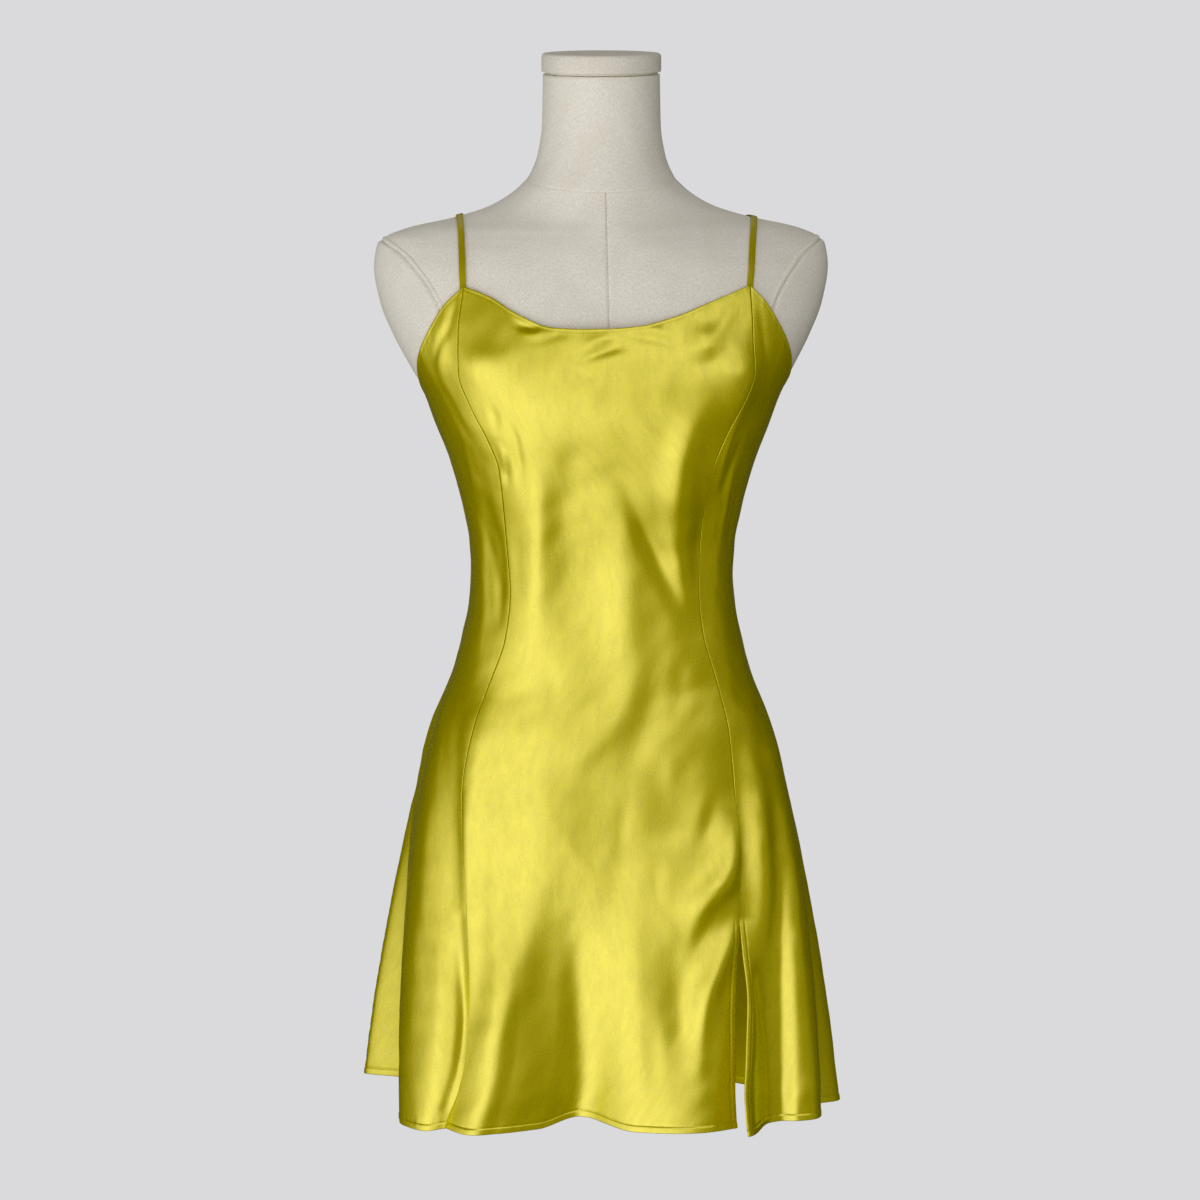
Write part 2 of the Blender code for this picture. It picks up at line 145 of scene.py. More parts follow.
def new_material(name):
    """An empty material, with its tree and its output node."""
    made = bpy.data.materials.new(name)
    made.use_nodes = True
    made.node_tree.nodes.clear()
    output = made.node_tree.nodes.new("ShaderNodeOutputMaterial")
    return made, made.node_tree, output


def end_material(tree, output, height, strength, depth, values, links):
    """The end of a material: a bump of the given strength and depth, and the surface itself."""
    bump = add_node(tree, "ShaderNodeBump", {"Strength": strength, "Distance": depth}, {"Height": height})
    shader = add_node(tree, "ShaderNodeBsdfPrincipled", values, {**links, "Normal": bump})
    tree.links.new(shader.outputs[0], output.inputs["Surface"])


# %% [markdown]
# ## The studio
#
# Satin shows its light rather than its colour, so the lamps are most of the look. A big softbox in front and
# to the left gives every fold that turns towards it a wide yellow highlight, and a high one right of the
# middle lights what faces up. Folds that turn right fall into olive, and a weak fill there keeps them from
# going black. Two lamps behind serve the other views: they hang so high that no edge of the cloth catches
# them from the front. The floor and the wall glow evenly in one pale grey and are hidden from reflections:
# a lit floor would throw light up into the hem, which a real grey studio does not.

# %% Lights
Lamp = namedtuple("Lamp", "turn lift spread_turn spread_lift strength")
LAMPS = {                  # degrees: turn grows from the front to the right, lift from level to overhead
    "big window, front left": Lamp(-29, -12, 50, 42, 1.56),
    "high window, right of the middle": Lamp(27, 32, 37, 20, 1.22),
    "bright wall, left": Lamp(-88, -8, 18, 30, 0.5),
    "dim wall, right": Lamp(66, 0, 30, 40, 0.15),
    "high lamp, rear left": Lamp(-160, 50, 44, 22, 1.0),
    "high lamp, rear right": Lamp(140, 50, 36, 22, 0.6),
}
SOFT_EDGE = 1.8            # 1 fades a lamp like a bell, more gives it an even middle
ROOM = colour("#3c3b3c")


def add_lamp(tree, turn, lift, lamp):
    """Brightness of one lamp towards every direction: a soft-edged patch of the room."""
    parts = []
    for angle, middle, spread in ((turn, lamp.turn, lamp.spread_turn), (lift, lamp.lift, lamp.spread_lift)):
        off = add_node(tree, "ShaderNodeMath", {1: radians(middle)}, {0: angle}, operation="SUBTRACT")
        wrapped = add_node(tree, "ShaderNodeMath", {1: pi, 2: -pi}, {0: off}, operation="WRAP")
        share = add_node(tree, "ShaderNodeMath", {1: radians(spread)}, {0: wrapped}, operation="DIVIDE")
        parts.append(add_node(tree, "ShaderNodeMath", {1: 2.0}, {0: share}, operation="POWER"))
    both = add_node(tree, "ShaderNodeMath", None, {0: parts[0], 1: parts[1]}, operation="ADD")
    edge = add_node(tree, "ShaderNodeMath", {1: SOFT_EDGE}, {0: both}, operation="POWER")
    fade = add_node(tree, "ShaderNodeMath", {1: -1.0}, {0: edge}, operation="MULTIPLY")
    patch = add_node(tree, "ShaderNodeMath", None, {0: fade}, operation="EXPONENT")
    return add_node(tree, "ShaderNodeMath", {1: lamp.strength}, {0: patch}, operation="MULTIPLY")


def light_room():
    """A dim grey room with a few soft lamps, as the light that comes from each direction."""
    world = bpy.data.worlds.new("studio")
    world.use_nodes = True
    tree = world.node_tree
    way = add_node(tree, "ShaderNodeTexCoord")
    axis = add_node(tree, "ShaderNodeSeparateXYZ", None, {0: way.outputs["Generated"]})
    ahead = add_node(tree, "ShaderNodeMath", {1: -1.0}, {0: axis.outputs["Y"]}, operation="MULTIPLY")
    turn = add_node(tree, "ShaderNodeMath", None, {0: axis.outputs["X"], 1: ahead}, operation="ARCTAN2")
    lift = add_node(tree, "ShaderNodeMath", None, {0: axis.outputs["Z"]}, operation="ARCSINE")
    patches = [add_lamp(tree, turn, lift, lamp) for lamp in LAMPS.values()]
    total = patches[0]
    for patch in patches[1:]:
        total = add_node(tree, "ShaderNodeMath", None, {0: total, 1: patch}, operation="ADD")
    lamps = add_node(tree, "ShaderNodeBackground", {"Color": colour("#fffdf8")}, {"Strength": total})
    room = add_node(tree, "ShaderNodeBackground", {"Color": ROOM, "Strength": 1.0})
    both = add_node(tree, "ShaderNodeAddShader", None, {0: lamps, 1: room})
    tree.links.new(both.outputs[0], tree.nodes["World Output"].inputs["Surface"])
    bpy.context.scene.world = world


light_room()
print(len(LAMPS), "lamps")

# %% Floor and wall
STAGE_RADIUS = 30.0        # metres, so that no edge of the floor comes into view
FLOOR_DROP = 0.0003        # the floor lies just under the stand's plate


def paper():
    """Backdrop paper: an even pale grey glow that no fold or seam of the room can shade."""
    made, tree, output = new_material("backdrop_paper")
    glow = add_node(tree, "ShaderNodeEmission", {"Color": colour("#dadadb"), "Strength": 1.0})
    tree.links.new(glow.outputs[0], output.inputs["Surface"])
    return made


def add_stage():
    bpy.ops.mesh.primitive_circle_add(
        vertices=64, radius=STAGE_RADIUS, fill_type="NGON", location=(0, 0, -FLOOR_DROP)
    )
    floor = bpy.context.object
    floor.name = "floor"
    bpy.ops.mesh.primitive_uv_sphere_add(segments=48, ring_count=24, radius=STAGE_RADIUS)
    wall = bpy.context.object
    wall.name = "wall"
    sheet = paper()
    for piece in (floor, wall):
        piece.data.materials.append(sheet)
        piece.visible_diffuse = False
        piece.visible_glossy = False
        piece.visible_transmission = False
        piece.visible_shadow = False


add_stage()
print("floor and wall", STAGE_RADIUS, "m away")

# %% [markdown]
# ## Sizes that the dress is cut to
#
# A dressmaker starts from a form's girths, level by level. Each row here gives a level's half width, how deep
# the form is in front of and behind its axis, and how much a section narrows towards the shoulder tips.
# A smooth curve through each column then gives the body at any height. The curve never overshoots its rows,
# so a waist stays a waist and no bump appears between two levels.

# %% Sizes of the form and the cloth
CLOTH = 0.0012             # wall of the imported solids
CLEARANCE = 0.0020         # air between cloth and form
STAND_OFF = CLOTH + CLEARANCE
SEAM_GAP = 0.0004          # between two panels
FORM_BOTTOM = 0.200        # the torso's lower rim
NECK_TOP = 0.9355          # where the neck ends, under its cap
HIP_LINE = 0.395           # above this height the cloth follows the form
FLUTE_CURVE = 1.3          # how softly a flute opens out of the smooth skirt
ARC_SHARE = 0.7            # metres of cloth in one radian near a seam, for each metre of half width

Level = namedtuple("Level", "height half_width front back pinch", defaults=[0.0])
Square = namedtuple("Square", "height power")
Bump = namedtuple("Bump", "x height reach spread_x spread_z")

FORM_LEVELS = [
    Level(0.206, 0.1370, 0.1010, 0.1060),
    Level(0.240, 0.1410, 0.1035, 0.1120),
    Level(0.280, 0.1430, 0.1045, 0.1160),
    Level(0.320, 0.1410, 0.1035, 0.1165),
    Level(0.360, 0.1370, 0.1010, 0.1120),
    Level(0.400, 0.1310, 0.0975, 0.1030),
    Level(0.436, 0.1215, 0.0960, 0.0920),
    Level(0.463, 0.1160, 0.0950, 0.0845),
    Level(0.490, 0.1142, 0.0945, 0.0800),
    Level(0.518, 0.1155, 0.0950, 0.0790),
    Level(0.545, 0.1203, 0.0965, 0.0810),
    Level(0.572, 0.1270, 0.0990, 0.0855),
    Level(0.599, 0.1353, 0.1020, 0.0905),
    Level(0.626, 0.1460, 0.1045, 0.0950),
    Level(0.653, 0.1562, 0.1060, 0.0985),
    Level(0.680, 0.1715, 0.1055, 0.1010),
    Level(0.707, 0.1857, 0.1030, 0.1020),
    Level(0.734, 0.1963, 0.0980, 0.1010),
    Level(0.765, 0.2015, 0.0905, 0.0965, 0.05),
    Level(0.783, 0.1990, 0.0850, 0.0920, 0.25),
    Level(0.791, 0.1930, 0.0820, 0.0890, 0.40),
    Level(0.799, 0.1740, 0.0790, 0.0850, 0.50),
    Level(0.808, 0.1330, 0.0750, 0.0800, 0.50),
    Level(0.818, 0.1010, 0.0710, 0.0755, 0.40),
    Level(0.828, 0.0830, 0.0675, 0.0715, 0.25),
    Level(0.837, 0.0720, 0.0650, 0.0680, 0.10),
    Level(0.846, 0.0642, 0.0620, 0.0640),
    Level(0.864, 0.0570, 0.0570, 0.0580),
    Level(0.890, 0.0530, 0.0530, 0.0530),
    Level(NECK_TOP, 0.0520, 0.0520, 0.0520),
]
SKIRT_LEVELS = [
    Level(0.000, 0.2150, 0.1400, 0.1400),
    Level(0.070, 0.2085, 0.1350, 0.1380),
    Level(0.130, 0.2010, 0.1300, 0.1350),
    Level(0.190, 0.1915, 0.1240, 0.1320),
    Level(0.250, 0.1805, 0.1180, 0.1290),
    Level(0.300, 0.1690, 0.1125, 0.1260),
    Level(0.354, 0.1535, 0.1070, 0.1185),
]
FRONT_SQUARE = [           # 2 is half an ellipse, more is flatter in front with fuller corners
    Square(0.000, 2.0),
    Square(0.200, 2.2),
    Square(0.320, 2.6),
    Square(0.430, 2.9),
    Square(0.540, 3.0),
    Square(0.650, 2.9),
    Square(0.710, 2.4),
    Square(0.765, 2.0),
]
FORM_BUMPS = [             # the bust
    Bump(-0.094, 0.640, 0.024, 0.062, 0.070),
    Bump(0.094, 0.640, 0.024, 0.062, 0.070),
]
CLOTH_BUMPS = FORM_BUMPS + [    # the satin bridges from one side to the other
    Bump(0.000, 0.650, 0.008, 0.040, 0.050),
]
print(len(FORM_LEVELS), "levels of the form,", len(SKIRT_LEVELS), "of the skirt")


# %% Smooth curves and the body
def smooth_curve(keys, values):
    """A smooth curve through a table's column that never overshoots its rows; it takes arrays."""
    keys, values = np.array(keys, float), np.array(values, float)
    widths = np.diff(keys)
    steps = np.diff(values) / widths
    slopes = np.zeros(len(keys))
    slopes[0], slopes[-1] = steps[0], steps[-1]
    before, after = steps[:-1], steps[1:]
    same_way = before * after > 0
    slopes[1:-1][same_way] = (2 * before * after)[same_way] / (before + after)[same_way]

    def value(key):
        key = np.clip(key, keys[0], keys[-1])
        i = np.clip(np.searchsorted(keys, key, side="right") - 1, 0, len(keys) - 2)
        t = (key - keys[i]) / widths[i]
        rise = values[i + 1] - values[i]
        a = slopes[i] * widths[i] - rise
        b = rise - slopes[i + 1] * widths[i]
        return values[i] + rise * t + t * (1 - t) * (a * (1 - t) + b * t)

    return value


def column_curve(rows, column):
    """The curve of one named column over the table's first column."""
    return smooth_curve([row[0] for row in rows], [getattr(row, column) for row in rows])


def grown(level, by):
    return Level(level.height, level.half_width + by, level.front + by, level.back + by, level.pinch)


def unit(vectors):
    return vectors / np.maximum(np.linalg.norm(vectors, axis=-1, keepdims=True), 1e-12)


class Body:
    """A tall body given by its sections: half an ellipse behind its axis, a squarer one in front."""

    def __init__(self, levels, bumps):
        self.half_width = column_curve(levels, "half_width")
        self.front = column_curve(levels, "front")
        self.back = column_curve(levels, "back")
        self.pinch = column_curve(levels, "pinch")
        self.power = column_curve(FRONT_SQUARE, "power")
        self.bumps = bumps

    def point(self, angle, height):
        """Angle 0 is centre front, +90 degrees the right side, 180 degrees centre back."""
        facing = np.cos(angle)
        in_front = facing > 0
        wide = self.half_width(height) * (1 - self.pinch(height) * facing ** 2)
        deep = np.where(in_front, self.front(height), self.back(height))
        power = self.power(height)
        round_sum = np.abs(np.sin(angle)) ** power + np.maximum(facing, 0.0) ** power
        fuller = np.where(in_front, np.maximum(round_sum, 1e-9) ** (-1 / power), 1.0)
        x, y = wide * np.sin(angle) * fuller, -deep * facing * fuller
        for bump in self.bumps:
            across = (x - bump.x) / bump.spread_x
            along = (height - bump.height) / bump.spread_z
            y = y - in_front * bump.reach * facing * np.exp(-(across ** 2 + along ** 2) / 2)
        return np.stack(np.broadcast_arrays(x, y, height), axis=-1)

    def angle_at(self, x, height, behind=False):
        """Angle where a section passes x, in front of the axis or behind it, found by halving."""
        low, high = np.zeros_like(height), np.full_like(height, pi / 2)
        for _ in range(30):
            middle = (low + high) / 2
            inside = self.point(pi - middle if behind else middle, height)[..., 0] < np.abs(x)
            low, high = np.where(inside, middle, low), np.where(inside, high, middle)
        angle = pi - low if behind else low
        return np.where(x > 0, angle, -angle)

    def normal(self, angle, height, step=0.002):
        """Outward normal, from two short steps along the surface."""
        around = self.point(angle + step, height) - self.point(angle - step, height)
        up = self.point(angle, height + step) - self.point(angle, height - step)
        return unit(np.cross(around, up))


form = Body(FORM_LEVELS, FORM_BUMPS)
dress = Body(
    SKIRT_LEVELS + [grown(level, STAND_OFF) for level in FORM_LEVELS if level.height > HIP_LINE],
    CLOTH_BUMPS,
)
print("bust, waist, hip half widths:", [round(float(dress.half_width(z)), 4) for z in (0.65, 0.49, 0.3)])

# %% [markdown]
# ## Where the panels lie
#
# The front is joined to the side fronts by two princess seams, which run from the strap points over the bust
# to the hem. The back is one piece from side seam to side seam. Each hem is a row of ridges and valleys where
# the bias-cut skirt flutes: the table gives where each hangs, how low, and the height at which it starts to
# leave the smooth skirt. The right front seam is open at the bottom, which makes the slit.

# %% Seams, top edges and hems
Edge = namedtuple("Edge", "height left right")
Top = namedtuple("Top", "share height")
Hem = namedtuple("Hem", "share x y low start")
Slit = namedtuple("Slit", "height opening forward")

FRONT_SEAMS = [
    Edge(0.000, -0.1520, 0.1210),
    Edge(0.015, -0.1476, 0.1195),
    Edge(0.040, -0.1378, 0.1180),
    Edge(0.070, -0.1310, 0.1175),
    Edge(0.110, -0.1268, 0.1168),
    Edge(0.150, -0.1252, 0.1171),
    Edge(0.210, -0.1250, 0.1181),
    Edge(0.260, -0.1272, 0.1175),
    Edge(0.305, -0.1260, 0.1142),
    Edge(0.354, -0.1176, 0.1092),
    Edge(0.401, -0.1032, 0.0977),
    Edge(0.443, -0.0898, 0.0864),
    Edge(0.481, -0.0856, 0.0831),
    Edge(0.520, -0.0886, 0.0835),
    Edge(0.594, -0.0967, 0.0922),
    Edge(0.621, -0.1073, 0.1026),
    Edge(0.650, -0.1218, 0.1150),
    Edge(0.679, -0.1314, 0.1265),
    Edge(0.713, -0.1313, 0.1281),
    Edge(0.754, -0.1265, 0.1265),
]
NECKLINE = [
    Top(0.00, 0.7540),
    Top(0.10, 0.7460),
    Top(0.20, 0.7320),
    Top(0.32, 0.7200),
    Top(0.42, 0.7182),
    Top(0.50, 0.7183),
    Top(0.60, 0.7203),
    Top(0.72, 0.7285),
    Top(0.86, 0.7420),
    Top(1.00, 0.7540),
]
ARMHOLE = [
    Top(0.00, 0.7540),
    Top(0.10, 0.7380),
    Top(0.17, 0.7230),
    Top(0.26, 0.7075),
    Top(0.36, 0.6930),
    Top(0.48, 0.6790),
    Top(0.62, 0.6675),
    Top(1.00, 0.6550),
]
BACK_EDGE = [
    Top(0.00, 0.6550),
    Top(0.24, 0.6640),
    Top(0.50, 0.6560),
    Top(0.76, 0.6640),
    Top(1.00, 0.6550),
]
LEFT_SEAM_HEM = Hem(0.0, -0.146, -0.121, 0.0065, 0.30)
RIGHT_SEAM_HEM = Hem(1.0, 0.114, -0.126, 0.0045, 0.32)
LEFT_SIDE_HEM = Hem(0.0, -0.1855, -0.086, 0.0060, 0.42)
RIGHT_SIDE_HEM = Hem(0.0, 0.180, -0.045, 0.0065, 0.42)
FRONT_HEM = [
    LEFT_SEAM_HEM,
    Hem(0.11, -0.127, -0.141, 0.0045, 0.34),
    Hem(0.20, -0.103, -0.1375, 0.0044, 0.30),
    Hem(0.32, -0.064, -0.123, 0.0050, 0.28),
    Hem(0.46, -0.026, -0.108, 0.0130, 0.24),
    Hem(0.62, 0.022, -0.140, 0.0050, 0.30),
    Hem(0.86, 0.084, -0.144, 0.0045, 0.34),
    RIGHT_SEAM_HEM,
]
SIDE_LEFT_HEM = [
    LEFT_SIDE_HEM._replace(share=0.0),
    Hem(0.38, -0.181, -0.104, 0.0050, 0.40),
    Hem(0.72, -0.166, -0.121, 0.0045, 0.34),
    LEFT_SEAM_HEM._replace(share=1.0),
]
SIDE_RIGHT_HEM = [
    RIGHT_SEAM_HEM._replace(share=0.0),
    Hem(0.30, 0.153, -0.103, 0.0050, 0.34),
    Hem(0.46, 0.171, -0.103, 0.0050, 0.36),
    Hem(0.66, 0.190, -0.092, 0.0050, 0.40),
    RIGHT_SIDE_HEM._replace(share=1.0),
]
BACK_HEM = [
    RIGHT_SIDE_HEM._replace(share=0.0),
    Hem(0.08, 0.216, -0.012, 0.0045, 0.44),
    Hem(0.24, 0.132, 0.056, 0.0050, 0.20),
    Hem(0.37, 0.066, 0.156, 0.0060, 0.30),
    Hem(0.50, -0.005, 0.130, 0.0080, 0.20),
    Hem(0.62, -0.078, 0.160, 0.0060, 0.30),
    Hem(0.72, -0.132, 0.122, 0.0080, 0.22),
    Hem(0.88, -0.213, 0.116, 0.0070, 0.46),
    Hem(0.93, -0.170, 0.076, 0.0085, 0.42),
    Hem(0.96, -0.179, 0.022, 0.0065, 0.40),
    Hem(0.978, -0.174, -0.028, 0.0080, 0.34),
    Hem(0.993, -0.1862, -0.076, 0.0060, 0.42),
    LEFT_SIDE_HEM._replace(share=1.0),
]
SLIT = [
    Slit(0.000, 0.0060, 0.0380),
    Slit(0.035, 0.0050, 0.0290),
    Slit(0.070, 0.0070, 0.0200),
    Slit(0.120, 0.0090, 0.0100),
    Slit(0.155, 0.0050, 0.0035),
    Slit(0.190, 0.0000, 0.0000),
]
SLIT_TOP = SLIT[-1].height
SLIT_REACH = 0.28          # share of the side front's hem that the kick reaches
print("points on the hems:", sum(len(rows) for rows in (FRONT_HEM, SIDE_LEFT_HEM, SIDE_RIGHT_HEM, BACK_HEM)))

# %% [markdown]
# ## The surface of one panel
#
# A point of a panel is named by its share of the way across, from the left seam to the right one, and by its
# height. The same small class serves all four panels, so neighbours meet exactly along their seams. Skirt
# flutes are added below their own starting heights, growing softly towards the hem.

# %% Panel surfaces
RUNS = np.linspace(0.0, 1.0, 1201)          # close steps along a hem, to read its curve backwards
SEAM_HEIGHTS = np.linspace(0.0, 0.76, 381)  # every two millimetres up a seam


def seam_angle(side):
    """Angle of a front princess seam at any height, from where it lies in x."""
    across = column_curve(FRONT_SEAMS, side)
    angles = dress.angle_at(across(SEAM_HEIGHTS), SEAM_HEIGHTS)
    return lambda height: np.interp(height, SEAM_HEIGHTS, angles)


def side_angle(angle):
    return lambda height: np.full_like(height, angle, dtype=float)


class Panel:
    """One cut piece of the dress: where its outer face lies before any small fold."""

    def __init__(self, name, hem_rows, left, right, top_rows, slit_edge=False):
        self.name, self.left, self.right, self.slit_edge = name, left, right, slit_edge
        self.top = column_curve(top_rows, "height")
        run = np.cumsum([0.0] + [hypot(b.x - a.x, b.y - a.y) for a, b in zip(hem_rows, hem_rows[1:])])
        run /= run[-1]
        hem = Hem(*np.array(hem_rows).T)
        self.share_of_run = smooth_curve(run, hem.share)(RUNS)
        self.low = smooth_curve(run, hem.low)
        self.start = smooth_curve(run, hem.start)
        angle = left(hem.low) + (right(hem.low) - left(hem.low)) * hem.share
        plain = dress.point(angle, hem.low)
        self.away_x = smooth_curve(run, hem.x - plain[:, 0])
        self.away_y = smooth_curve(run, hem.y - plain[:, 1])
        self.opening = column_curve(SLIT, "opening")
        self.forward = column_curve(SLIT, "forward")

    def ends(self, share):
        """Heights of the hem and of the top edge."""
        return self.low(np.interp(share, self.share_of_run, RUNS)), self.top(share)

    def point(self, share, height):
        run = np.interp(share, self.share_of_run, RUNS)
        low, start = self.low(run), self.start(run)
        left, right = self.left(height), self.right(height)
        inset = SEAM_GAP / 2 / (ARC_SHARE * dress.half_width(height))
        angle = left + (right - left) * share + inset * (1 - 2 * share)
        place = dress.point(angle, height)
        opened = np.clip((start - height) / (start - low), 0.0, None) ** FLUTE_CURVE
        place[..., 0] += self.away_x(run) * opened
        place[..., 1] += self.away_y(run) * opened
        if self.slit_edge:
            kick = (1 + np.cos(pi * np.minimum(1.0, run / SLIT_REACH))) / 2
            place[..., 0] += self.opening(height) * kick
            place[..., 1] -= self.forward(height) * kick
        return place

    def normal(self, share, height, step=0.001):
        across = self.point(share + step, height) - self.point(share - step, height)
        up = self.point(share, height + step) - self.point(share, height - step)
        return unit(np.cross(across, up))


left_seam, right_seam = seam_angle("left"), seam_angle("right")
armhole_left = [Top(1.0 - row.share, row.height) for row in reversed(ARMHOLE)]
PANELS = [
    Panel("front_panel", FRONT_HEM, left_seam, right_seam, NECKLINE),
    Panel("side_front_left", SIDE_LEFT_HEM, side_angle(-pi / 2), left_seam, armhole_left),
    Panel("side_front_right", SIDE_RIGHT_HEM, right_seam, side_angle(pi / 2), ARMHOLE, slit_edge=True),
    Panel("back_panel", BACK_HEM, side_angle(pi / 2), side_angle(3 * pi / 2), BACK_EDGE),
]
print("panels:", ", ".join(panel.name for panel in PANELS))

# %% [markdown]
# ## A grid that is fine where the sewing is
#
# The middle of a panel needs a face every few millimetres, but its edges are rolled, turned and stitched
# within one centimetre. Every row and column near an edge therefore lies at a set distance from it, in real
# millimetres, and only the rest is spread evenly. A uniform grid fine enough for the edges would need ten
# times the faces.

# %% Grids
EDGE_STEPS = np.array([0.0, 0.1, 0.35, 0.75, 1.2, 1.8, 2.6, 3.6, 4.8, 5.6, 6.2, 6.9, 8.0, 10.0]) * MM
SPACING = {                # between the even rows and columns of each panel
    "front_panel": 2.6 * MM,
    "side_front_left": 2.8 * MM,
    "side_front_right": 2.8 * MM,
    "back_panel": 4.0 * MM,
}
DENSE_SHARES = np.linspace(0, 1, 501)
LEAST_LEVEL = 0.5          # a top edge counts as no steeper than this
Grid = namedtuple("Grid", "points normals across hem top left right")


def edge_to_edge(length, count):
    """Distances from 0 to each length: set steps at both ends, even ones between."""
    length = np.asarray(length, float)[..., None]
    inner = np.linspace(0.0, 1.0, count + 2)[1:-1]
    last = EDGE_STEPS[-1]
    return np.concatenate([
        np.broadcast_to(EDGE_STEPS, (*length.shape[:-1], len(EDGE_STEPS))),
        last + (length - 2 * last) * inner,
        length - EDGE_STEPS[::-1],
    ], axis=-1)


def lengths(points, axis):
    """Distance walked along a grid of points, from the first one of each line."""
    steps = np.linalg.norm(np.diff(points, axis=axis), axis=-1)
    start = np.zeros_like(np.take(steps, [0], axis=axis))
    return np.cumsum(np.concatenate([start, steps], axis=axis), axis=axis)


def make_grid(panel):
    """Rows from the hem up and columns from left to right, all at real distances."""
    spacing = SPACING[panel.name]
    shares = np.interp(DENSE_SHARES, RUNS, panel.share_of_run)
    low, top = panel.ends(shares)
    level = np.sin(np.arctan2(np.gradient(panel.point(shares, top)[:, 0]), np.gradient(top)))
    row_count = int(float(np.max(top - low)) / spacing)
    climb = edge_to_edge(top - low, row_count)                  # one line for each dense share
    side = np.array([panel.point(np.full_like(climb[0], s), l + c) for s, l, c in zip(shares, low, climb)])
    widths = lengths(side, 0)                                   # across, for each dense share and row
    column_count = int(widths[-1].max() / spacing)
    share, height = [], []
    for j in range(climb.shape[1]):
        places = edge_to_edge(widths[-1, j], column_count)
        share.append(np.interp(places, widths[:, j], shares))
        height.append(np.interp(share[-1], shares, low + climb[:, j]))
    share, height = np.array(share), np.array(height)
    points = panel.point(share, height)
    across, up = lengths(points, 1), lengths(points, 0)
    level = np.maximum(np.interp(share[-1], shares, np.abs(level)), LEAST_LEVEL)
    return Grid(
        points, panel.normal(share, height), across, up, (up[-1] - up) * level,
        across, across[:, -1:] - across,
    )


grids = {panel.name: make_grid(panel) for panel in PANELS}
for panel_name, grid in grids.items():
    print(panel_name, "grid", grid.across.shape, "widest", round(float(grid.across.max()), 3), "m")

# %% [markdown]
# ## Folds, listed one by one
#
# Satin that hangs from two straps and is nipped at the waist shows a few long soft folds, not many small
# ones. Each row gives a fold's depth (a trough is negative), its half width and its path in millimetres,
# sideways from the form's axis and up from the floor. A fold fades to nothing at its ends unless `first` or
# `last` says how strong it still is there. The paths are bent with a smooth curve, laid on the cloth, and
# every point near one moves along its own normal. A cloth simulation could make such folds too, but not
# these particular ones.

# %% The fold tables
Fold = namedtuple("Fold", "depth width path first last", defaults=[0.0, 0.0])
SHAPING = [                # broad fullness that runs on from panel to panel across the front
    Fold(6.0, 18, [(124, 714), (123, 698), (120, 680), (110, 652), (96, 622)]),
    Fold(2.0, 17, [(-130, 745), (-128, 715), (-121, 680), (-110, 650)], first=0.3),
    Fold(2.8, 18, [(-136, 684), (-120, 688), (-102, 690), (-82, 694)]),
    Fold(6.5, 22, [(-74, 625), (-67, 570), (-63, 510), (-66, 440), (-76, 385)]),
    Fold(-5.0, 13, [(-108, 580), (-102, 525), (-100, 470), (-106, 415)]),
    Fold(-4.0, 15, [(92, 600), (86, 556), (82, 505), (84, 455), (92, 410)]),
    Fold(6.5, 18, [(-100, 425), (-110, 370), (-117, 320), (-117, 275), (-114, 220)]),
    Fold(6.5, 10, [
        (-113, 350), (-121, 300), (-122, 250), (-121, 200), (-119, 150), (-119, 100), (-122, 45),
    ], last=0.2),
    Fold(-2.5, 14, [(104, 390), (112, 340), (117, 290), (120, 235), (120, 195)], last=0.2),
    Fold(6.5, 46, [(-30, 480), (-44, 400), (-60, 330), (-66, 270), (-66, 190)]),
]
